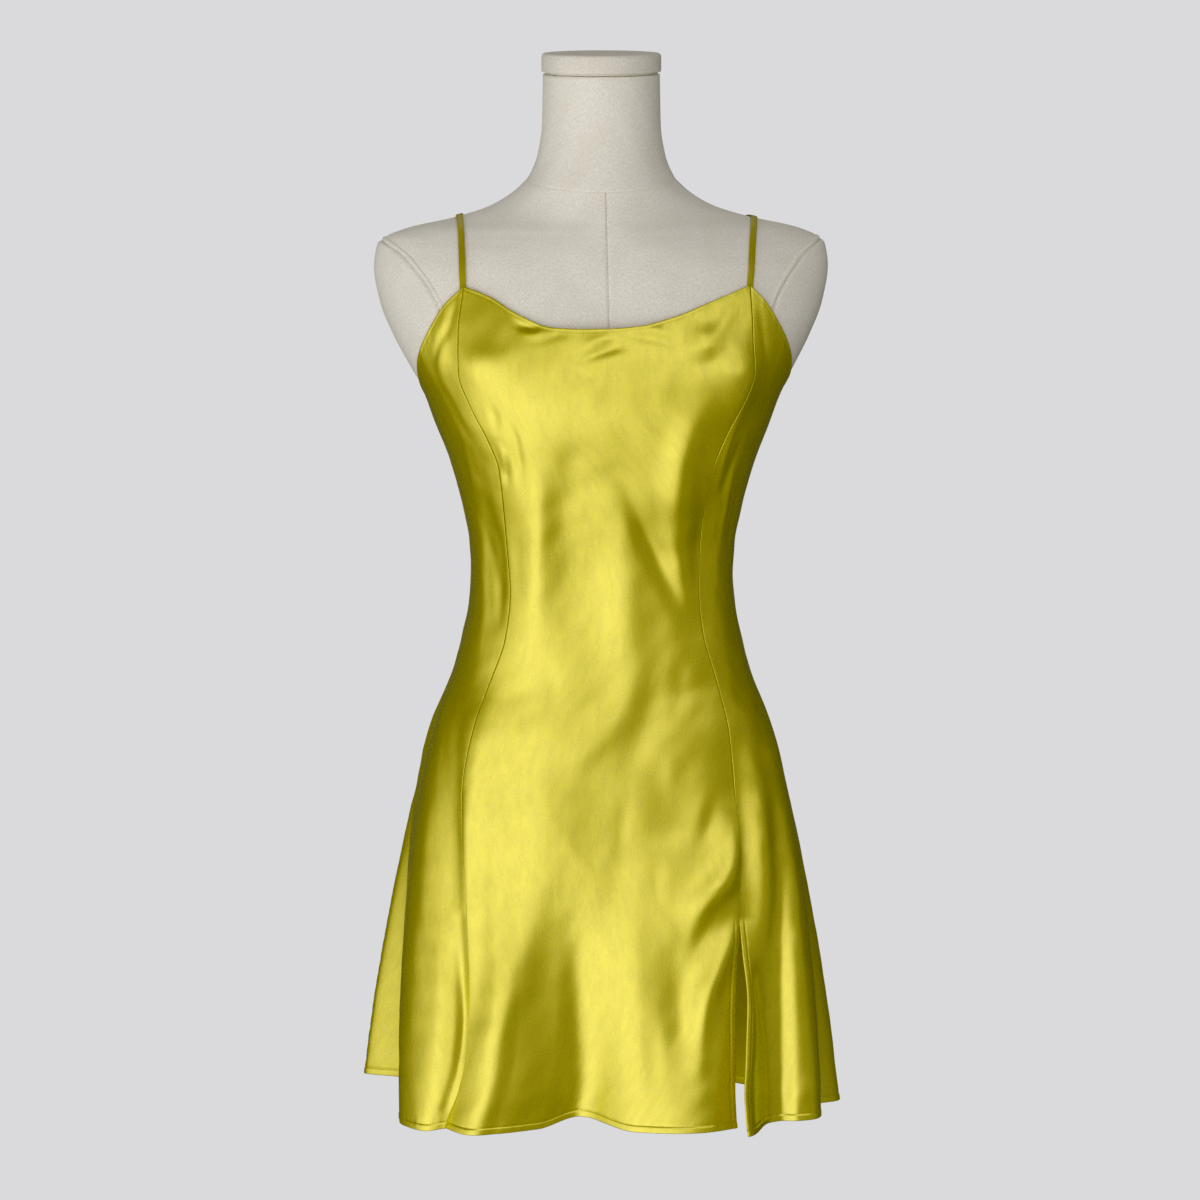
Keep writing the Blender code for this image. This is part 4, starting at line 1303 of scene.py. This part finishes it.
def stitch_tree():
    """Sets one small rounded stitch at each pitch along the lines of a mesh."""
    tree = bpy.data.node_groups.new("lockstitch", "GeometryNodeTree")
    sockets = {"Lines": add_socket(tree, "Lines", "NodeSocketGeometry")}
    for name in ("Pitch", "Length", "Thickness", "Slant"):
        sockets[name] = add_socket(tree, name, "NodeSocketFloat", 0.001)
    sockets["Seed"] = add_socket(tree, "Seed", "NodeSocketInt", 0)
    sockets["Thread"] = add_socket(tree, "Thread", "NodeSocketMaterial")
    tree.interface.new_socket(name="Stitches", in_out="OUTPUT", socket_type="NodeSocketGeometry")
    given = tree.nodes.new("NodeGroupInput").outputs
    walk = add_node(tree, "GeometryNodeMeshToCurve", None, {"Mesh": given["Lines"]})
    paced = add_node(
        tree, "GeometryNodeResampleCurve", None, {"Curve": walk, "Length": given["Pitch"]}, mode="LENGTH"
    )
    bead = add_node(
        tree, "GeometryNodeMeshUVSphere", {"Segments": STITCH_SIDES, "Rings": STITCH_RINGS, "Radius": 0.5}
    )
    size = add_node(
        tree, "ShaderNodeCombineXYZ", None,
        {"X": given["Length"], "Y": given["Thickness"], "Z": given["Thickness"]},
    )
    ahead = add_node(tree, "GeometryNodeInputTangent")
    along = add_node(tree, "FunctionNodeAlignRotationToVector", None, {"Vector": ahead}, axis="X")
    out = add_node(tree, "GeometryNodeInputNamedAttribute", {"Name": "out"}, data_type="FLOAT_VECTOR")
    flat = add_node(
        tree, "FunctionNodeAlignRotationToVector", None,
        {"Rotation": along, "Vector": out}, axis="Z", pivot_axis="X",
    )
    back = add_node(tree, "ShaderNodeMath", {1: -1.0}, {0: given["Slant"]}, operation="MULTIPLY")
    slant = add_node(
        tree, "FunctionNodeRandomValue", None,
        {2: back, 3: given["Slant"], "Seed": given["Seed"]}, data_type="FLOAT",
    )
    turn = add_node(tree, "ShaderNodeCombineXYZ", None, {"Z": slant.outputs[1]})
    turned = add_node(tree, "FunctionNodeRotateRotation", None, {0: flat, 1: turn}, rotation_space="LOCAL")
    sewn = add_node(
        tree, "GeometryNodeInstanceOnPoints", None,
        {
            "Points": paced, "Instance": bead,
            "Rotation": turned, "Scale": size,
        },
    )
    real = add_node(tree, "GeometryNodeRealizeInstances", None, {"Geometry": sewn})
    smooth = add_node(tree, "GeometryNodeSetShadeSmooth", None, {"Geometry": real})
    dyed = add_node(
        tree, "GeometryNodeSetMaterial", None, {"Geometry": smooth, "Material": given["Thread"]}
    )
    result = tree.nodes.new("NodeGroupOutput")
    tree.links.new(dyed.outputs[0], result.inputs["Stitches"])
    return tree, sockets


# %% Thread material
PLY_LENGTH = 0.5 * MM      # one turn of the twist


def make_thread(name, dark, light):
    """Polyester thread: two plies twisted together, so its shine is broken into a fine slant."""
    made, tree, output = new_material(name)
    place = add_node(tree, "ShaderNodeTexCoord")
    plies = add_node(
        tree, "ShaderNodeTexNoise", {"Scale": 1 / PLY_LENGTH, "Detail": 2.0},
        {"Vector": place.outputs["Object"]},
    )
    tint = add_node(tree, "ShaderNodeValToRGB", None, {"Fac": plies}, [(0, dark), (1, light)])
    values = {"Roughness": 0.5, "Sheen Weight": 0.2}
    end_material(tree, output, plies, 0.5, 0.08 * MM, values, {"Base Color": tint})
    return made


# %% Sewing the dress
STITCHER = stitch_tree()


def sew(name, lines, thread):
    """Turns the lines into a mesh of edges, sews along them and keeps the result as a plain mesh."""
    points = np.concatenate([line for line, _ in lines])
    outward = np.concatenate([out for _, out in lines])
    ends = np.cumsum([len(line) for line, _ in lines])
    edges = [(i, i + 1) for i in range(len(points) - 1) if i + 1 not in ends]
    guide = bpy.data.meshes.new(name + "_lines")
    guide.from_pydata((points + outward * THREAD_LIFT * MM).tolist(), edges, [])
    attribute = guide.attributes.new("out", "FLOAT_VECTOR", "POINT")
    attribute.data.foreach_set("vector", outward.astype(np.float32).ravel())
    sewn = bpy.data.objects.new(name, guide)
    bpy.context.scene.collection.objects.link(sewn)
    tree, sockets = STITCHER
    modifier = sewn.modifiers.new("lockstitch", "NODES")
    modifier.node_group = tree
    settings = {
        "Pitch": STITCH_PITCH, "Length": STITCH_LENGTH, "Thickness": THREAD_THICKNESS,
        "Slant": STITCH_SLANT, "Seed": STITCH_SEED, "Thread": thread,
    }
    for setting, value in settings.items():
        modifier[sockets[setting]] = value
    ready = sewn.evaluated_get(bpy.context.evaluated_depsgraph_get())
    plain = bpy.data.meshes.new_from_object(ready)
    plain.name = name
    sewn.modifiers.clear()
    sewn.data = plain
    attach(sewn, "root")
    print(name + ":", len(plain.polygons) // (STITCH_SIDES * STITCH_RINGS), "stitches")
    return sewn


# The thread matches the satin; its darker colour is painted shade of the stitch line.
gold_thread_painted_shade = make_thread("golden_thread", "#8b7d12", "#b3a41c")
stitching = sew("satin_stitching", sewing_lines(), gold_thread_painted_shade)

# %% [markdown]
# ## Linen
#
# The form is covered in a closely woven natural linen. From a few steps away single threads no longer show:
# what is left is a fine matt speckle, slightly thicker threads that run up and across, and a faint mottling
# in warm and cool greys where the cloth has aged. The pattern reads the UV map, which is laid out in metres
# round the form and up it, so the weave keeps its size on the neck and on the hips.

# %% Linen material
LINEN_THREAD = 1.0 * MM    # drawn about three times as coarse as real linen, so that it still shows
LINEN_MOTTLE = 1 / 28      # about 36 mm from one pale patch to the next


def make_linen(name, light, dark, speck):
    made, tree, output = new_material(name)
    place = add_node(tree, "ShaderNodeUVMap", uv_map="cloth_metres")
    threads = []
    for stretch in ((1.0, THREAD_STRETCH, 1.0), (THREAD_STRETCH, 1.0, 1.0)):    # threads up, then across
        turned = add_node(tree, "ShaderNodeMapping", {"Scale": stretch}, {"Vector": place.outputs["UV"]})
        threads.append(add_node(
            tree, "ShaderNodeTexNoise", {"Scale": 1 / LINEN_THREAD, "Detail": 3.0, "Roughness": 0.7},
            {"Vector": turned},
        ))
    weave = add_node(tree, "ShaderNodeMath", None, {0: threads[0], 1: threads[1]}, operation="ADD")
    mottle = add_node(
        tree, "ShaderNodeTexNoise", {"Scale": 1 / LINEN_MOTTLE, "Detail": 4.0, "Roughness": 0.6},
        {"Vector": place.outputs["UV"]},
    )
    tint = add_node(tree, "ShaderNodeValToRGB", None, {"Fac": mottle}, [(0.35, dark), (0.65, light)])
    depth = add_node(
        tree, "ShaderNodeMapRange", {"From Min": 0.8, "From Max": 1.2, "To Min": 0.0, "To Max": 0.6},
        {"Value": weave},
    )
    speckled = add_node(tree, "ShaderNodeMix", {7: colour(speck)}, {0: depth, 6: tint}, data_type="RGBA")
    values = {"Roughness": 0.92, "IOR": 1.45, "Specular IOR Level": 0.2}
    end_material(tree, output, weave, 0.5, 0.2 * MM, values, {"Base Color": speckled.outputs[2]})
    return made


linen = make_linen("natural_linen", "#fcf9f0", "#f5f1e6", "#cbc5b8")
cap_linen = make_linen("cap_linen", "#f6f2e8", "#ece7dc", "#c5beb2")
print("linens:", linen.name, cap_linen.name)

# %% [markdown]
# ## The torso
#
# The form is one smooth body with sewn lines in its cover: down the centre front and back, along both sides
# and shoulders, and round the base of the neck. A line of columns or rows on each side of a seam, less than a
# millimetre apart, is enough to sink it as a real groove. Between the seams the grid stays coarse.

# %% Torso
SEAM_STEPS = np.array([0.0, 0.3, 0.6, 0.9, 1.3, 1.9, 2.8, 4.0]) * MM
NECK_SEAM = 0.8352         # height of the seam round the neck at the centre front
NECK_SEAM_RISE = 0.0085    # how much higher it lies at the sides and half of that at the back
TORSO_COLUMNS = 26         # in each quarter, besides the ones at the seams
GROOVE_DEPTH = 1.1 * MM
GROOVE_WIDTH = 0.65 * MM
NECK_GROOVE = 0.4          # the seam round the neck is this share as deep
PADDING_GIVES = 2.4 * MM   # the soft cover gives way under the dress
PADDING_FIRM = 0.645       # above this height it does not, because it shows
PADDING_SOFT = 0.6
MEAN_RADIUS = 0.12         # of the form, to turn a distance from a seam into an angle
RIM_DRAWN_IN = 0.975       # the lower rim, as a share of the section above it


def groove(distance):
    """A stitched line: a narrow sunk thread with soft shoulders."""
    narrow = np.exp(-(distance / GROOVE_WIDTH) ** 2)
    wide = np.exp(-(distance / (5 * GROOVE_WIDTH)) ** 2)
    return -GROOVE_DEPTH * (0.8 * narrow + 0.2 * wide)


def torso_angles():
    """Angles round the form, close together at the four seams, with the distance from them."""
    near = SEAM_STEPS / MEAN_RADIUS
    angles = []
    for quarter in range(4):
        start = quarter * pi / 2
        angles += list(start + near)
        angles += list(np.linspace(start + near[-1], start + pi / 2 - near[-1], TORSO_COLUMNS + 2)[1:-1])
        angles += list(start + pi / 2 - near[:0:-1])
    return np.array(angles)


def torso_rows():
    """Heights of the rows: closer on the shoulders, and closest at the seam round the neck."""
    steps = np.concatenate([-SEAM_STEPS[:0:-1], SEAM_STEPS])
    return np.concatenate([
        np.array([FORM_BOTTOM, FORM_BOTTOM + 3 * MM]),
        np.linspace(0.212, 0.765, 100),     # the trunk
        np.linspace(0.768, 0.830, 36),      # the shoulders
        NECK_SEAM + steps,
        np.linspace(0.841, NECK_TOP, 34),   # the neck
    ])


def add_torso():
    angle, level = np.meshgrid(torso_angles(), torso_rows())
    rise = NECK_SEAM_RISE * (1 - np.cos(angle)) * np.exp(-((level - NECK_SEAM) / 0.022) ** 2)
    height = np.clip(level + rise, FORM_BOTTOM, NECK_TOP)
    points = form.point(angle, height)
    normals = form.normal(angle, height)
    girth = np.linalg.norm(points[..., :2], axis=-1)
    off = np.abs(((angle + pi / 4) % (pi / 2)) - pi / 4) * girth
    below_neck = smooth_step(NECK_SEAM + 1 * MM, NECK_SEAM - 1 * MM, level)
    relief = groove(off) * below_neck + NECK_GROOVE * groove(level - NECK_SEAM)
    relief -= PADDING_GIVES * smooth_step(PADDING_FIRM, PADDING_SOFT, height)
    points = points + normals * relief[..., None]
    points[0, :, :2] *= RIM_DRAWN_IN
    rows, columns = level.shape
    faces = grid_faces(rows, columns, closed=True)
    faces += [tuple(reversed(range(columns))), tuple(range((rows - 1) * columns, rows * columns))]
    around = lengths(np.concatenate([points, points[:, :1]], axis=1), 1)
    around = np.where(angle > pi, around[:, :-1] - around[:, -1:], around[:, :-1])
    piece = add_mesh("torso_linen", points, faces, [linen], np.stack([around, lengths(points, 0)], axis=-1))
    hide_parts("form_torso")
    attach(piece, "root")
    return piece


torso = add_torso()
print("torso", len(torso.data.polygons), "faces")

# %% [markdown]
# ## The arm plates
#
# A limbless form is closed at each arm by an oval plate under the same linen. Only its rim is seen: a sunk
# line with a narrow welt beside it, from the top of the shoulder down behind the armhole. Rings round the
# plate's own middle follow that oval rim exactly, which a grid of the torso could not.

# %% Arm plates
PLATE_HEIGHT = 0.715       # level of an arm plate's middle
PLATE_TURN = radians(47)   # half its width, as an angle round the form
PLATE_REACH = 0.077        # half its height
PLATE_RINGS = np.concatenate([np.linspace(0.04, 0.88, 20), np.linspace(0.9, 1.0, 26)])
PLATE_SIDES = 160
PLATE_ROUND = 0.18         # metres of linen in one radian, for the weave's scale
PlatePoint = namedtuple("PlatePoint", "share lift")
PLATE_PROFILE = [          # millimetres over the torso: the plate, the groove round it, its welt
    PlatePoint(0.000, 1.60),
    PlatePoint(0.900, 1.55),
    PlatePoint(0.928, 1.30),
    PlatePoint(0.940, 0.60),
    PlatePoint(0.948, 0.10),
    PlatePoint(0.956, 0.10),
    PlatePoint(0.964, 0.80),
    PlatePoint(0.974, 1.20),
    PlatePoint(0.985, 1.00),
    PlatePoint(0.994, 0.20),
    PlatePoint(1.000, -0.60),
]


def add_plate(name, side):
    ring, turn = np.meshgrid(PLATE_RINGS, 2 * pi * np.arange(PLATE_SIDES) / PLATE_SIDES, indexing="ij")
    angle = side * (pi / 2 + PLATE_TURN * ring * np.cos(turn))
    height = PLATE_HEIGHT + PLATE_REACH * ring * np.sin(turn)
    lift = column_curve(PLATE_PROFILE, "lift")(ring) * MM
    points = form.point(angle, height) + form.normal(angle, height) * lift[..., None]
    centre = np.array([side * pi / 2]), np.array([PLATE_HEIGHT])
    middle = form.point(*centre) + form.normal(*centre) * PLATE_PROFILE[0].lift * MM
    points = np.concatenate([middle, points.reshape(-1, 3)])
    faces = [(0, 1 + i, 1 + (i + 1) % PLATE_SIDES) for i in range(PLATE_SIDES)]
    for face in grid_faces(len(PLATE_RINGS), PLATE_SIDES, closed=True):
        faces.append(tuple(corner + 1 for corner in reversed(face)))
    if side < 0:
        faces = [tuple(reversed(face)) for face in faces]
    uv = np.stack([angle * PLATE_ROUND, height], axis=-1).reshape(-1, 2)
    uv = np.concatenate([[(0, PLATE_HEIGHT)], uv])
    piece = add_mesh(name, points, faces, [linen], uv)
    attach(piece, "root")
    return piece


plates = [add_plate("arm_plate_left", -1), add_plate("arm_plate_right", 1)]
print(len(plates), "arm plates")

# %% [markdown]
# ## Stitches of the form's cover
#
# The linen is sewn with a darker thread, and it shows in two places: down the middle, front and back, and
# in the groove round each arm plate. Its dark brown is partly the thread's own colour and partly painted
# shade of the groove it lies in. The tree that sewed the dress sews these lines too, because it asks only
# for a line and for the direction that faces out. The thread lies sunk in its seam, so it reads as a fine
# dark dotted line and not as a bead on top.

# %% Sewing the form's cover
COVER_STITCH_DEPTH = 0.35 * MM     # how far the thread sinks into a seam
CENTRE_LOW = 0.64                  # a centre seam starts out of sight, behind the satin
CENTRE_GAP = 1.5 * MM              # and ends just under the seam round the neck
PLATE_GROOVE = 0.952               # where the groove lies on an arm plate, in shares of its reach


def cover_lines():
    """The centre seams, front and back, and the groove round each arm plate."""
    lines = []
    for turn in (0.0, pi):
        neck = NECK_SEAM + NECK_SEAM_RISE * (1 - cos(turn))
        heights = np.linspace(CENTRE_LOW, neck - CENTRE_GAP, 120)
        angle = np.full_like(heights, turn)
        out = form.normal(angle, heights)
        lines.append((form.point(angle, heights) - out * COVER_STITCH_DEPTH, out))
    turn = np.linspace(0, 2 * pi, 241)
    for side in (-1, 1):
        angle = side * (pi / 2 + PLATE_TURN * PLATE_GROOVE * np.cos(turn))
        heights = PLATE_HEIGHT + PLATE_REACH * PLATE_GROOVE * np.sin(turn)
        out = form.normal(angle, heights)
        lines.append((form.point(angle, heights) + out * COVER_STITCH_DEPTH, out))
    return lines


# Its dark brown is partly the thread's own colour and partly painted shade of the seam grooves.
linen_thread = make_thread("linen_thread", "#6f6054", "#9c8b7c")
sew("cover_stitching", cover_lines(), linen_thread)

# %% [markdown]
# ## The neck cap
#
# The cap is a turned disc under linen, a little wider than the neck, with a soft rim and a hardly crowned
# top. Its cover is pulled over the lower edge by hand, so that edge wanders by a few tenths of a millimetre.

# %% Neck cap
CAP_RADIUS = 53.3 * MM
CAP_BOTTOM = NECK_TOP + 0.3 * MM
CAP_SIDES = 180
CAP_WANDER = 0.15 * MM     # of the lower edge, in and out
CAP_SAG = 0.18 * MM        # and up
CAP_WANDER_REACH = 3.0     # millimetres up from the lower edge
CapPoint = namedtuple("CapPoint", "inset height")
CAP_PROFILE = [            # millimetres in from the rim and up from the lower face, from below to the top
    CapPoint(6.0, 0.0),
    CapPoint(3.4, 0.1),
    CapPoint(3.2, 1.3),
    CapPoint(2.4, 1.7),
    CapPoint(0.8, 1.9),
    CapPoint(0.15, 2.5),
    CapPoint(0.0, 3.6),
    CapPoint(0.05, 6.0),
    CapPoint(0.0, 10.0),
    CapPoint(0.0, 15.0),
    CapPoint(0.25, 16.6),
    CapPoint(0.9, 17.7),
    CapPoint(2.0, 18.3),
    CapPoint(4.0, 18.55),
    CapPoint(10.0, 18.65),
    CapPoint(22.0, 18.7),
    CapPoint(38.0, 18.7),
    CapPoint(50.0, 18.7),
]


def add_cap():
    turn = 2 * pi * np.arange(CAP_SIDES) / CAP_SIDES
    wander = sum(np.sin(k * turn + rng.uniform(0, 2 * pi)) / k ** 0.5 for k in (3, 5, 8, 13)) / 2
    rings = []
    for row in CAP_PROFILE:
        hand = np.exp(-row.height / CAP_WANDER_REACH)
        radius = CAP_RADIUS - row.inset * MM + CAP_WANDER * wander * hand
        height = CAP_BOTTOM + row.height * MM + CAP_SAG * (wander - wander.min()) * hand
        rings.append(np.stack([radius * np.sin(turn), -radius * np.cos(turn), height], axis=-1))
    points = np.array(rings)
    count = len(CAP_PROFILE)
    faces = grid_faces(count, CAP_SIDES, closed=True)
    faces += [tuple(reversed(range(CAP_SIDES))), tuple(range((count - 1) * CAP_SIDES, count * CAP_SIDES))]
    steps = [hypot(b.inset - a.inset, b.height - a.height) for a, b in zip(CAP_PROFILE, CAP_PROFILE[1:])]
    walked = np.cumsum([0.0] + steps)
    around = np.array([CAP_RADIUS - row.inset * MM for row in CAP_PROFILE])[:, None] * turn
    uv = np.stack([around, np.broadcast_to(walked[:, None] * MM, around.shape)], axis=-1)
    piece = add_mesh("neck_cap_linen", points, faces, [cap_linen], uv)
    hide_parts("neck_cap")
    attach(piece, "root")
    return piece


cap = add_cap()
print("cap", len(cap.data.polygons), "faces")

# %% [markdown]
# ## Painted steel
#
# The pole and its round plate are steel with a pale powder coat. Powder melts into a skin that is smooth to
# the hand but dimpled like orange peel, with a soft, slightly uneven gloss. Their plain solids are right as
# they are, so only their material is new.

# %% Stand material
PEEL = 1.4 * MM            # from one dimple of the powder's skin to the next
DUST = 25 * MM             # slow change of its gloss


def make_powder_coat():
    made, tree, output = new_material("powder_coated_steel")
    place = add_node(tree, "ShaderNodeTexCoord")
    peel, dust = (
        add_node(
            tree, "ShaderNodeTexNoise", {"Scale": 1 / spacing, "Detail": detail},
            {"Vector": place.outputs["Object"]},
        )
        for spacing, detail in ((PEEL, 1.0), (DUST, 5.0))
    )
    tint = add_node(tree, "ShaderNodeValToRGB", None, {"Fac": dust}, [(0, "#dcdcd8"), (1, "#ebebe7")])
    gloss = add_node(tree, "ShaderNodeMapRange", {"To Min": 0.34, "To Max": 0.5}, {"Value": dust})
    links = {"Base Color": tint, "Roughness": gloss}
    end_material(tree, output, peel, 0.3, 0.05 * MM, {"IOR": 1.5}, links)
    return made


powder_coat = make_powder_coat()
for name in ("form_pole", "form_base"):
    stand_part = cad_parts[name]
    stand_part.data.materials.clear()
    stand_part.data.materials.append(powder_coat)
print(powder_coat.name, "on the pole and the plate")

# %% [markdown]
# ## The cloth as it was cut
#
# Each panel is a flat piece of satin before it is sewn and hung. Its width and length are measured along the
# plain panel, from seam to seam and from hem to top, and its area over the same surface. The straps, pressed
# seams and stitches go with the panel that they are sewn to.


for name, piece in dress_pieces.items():
    grid = grids[name]
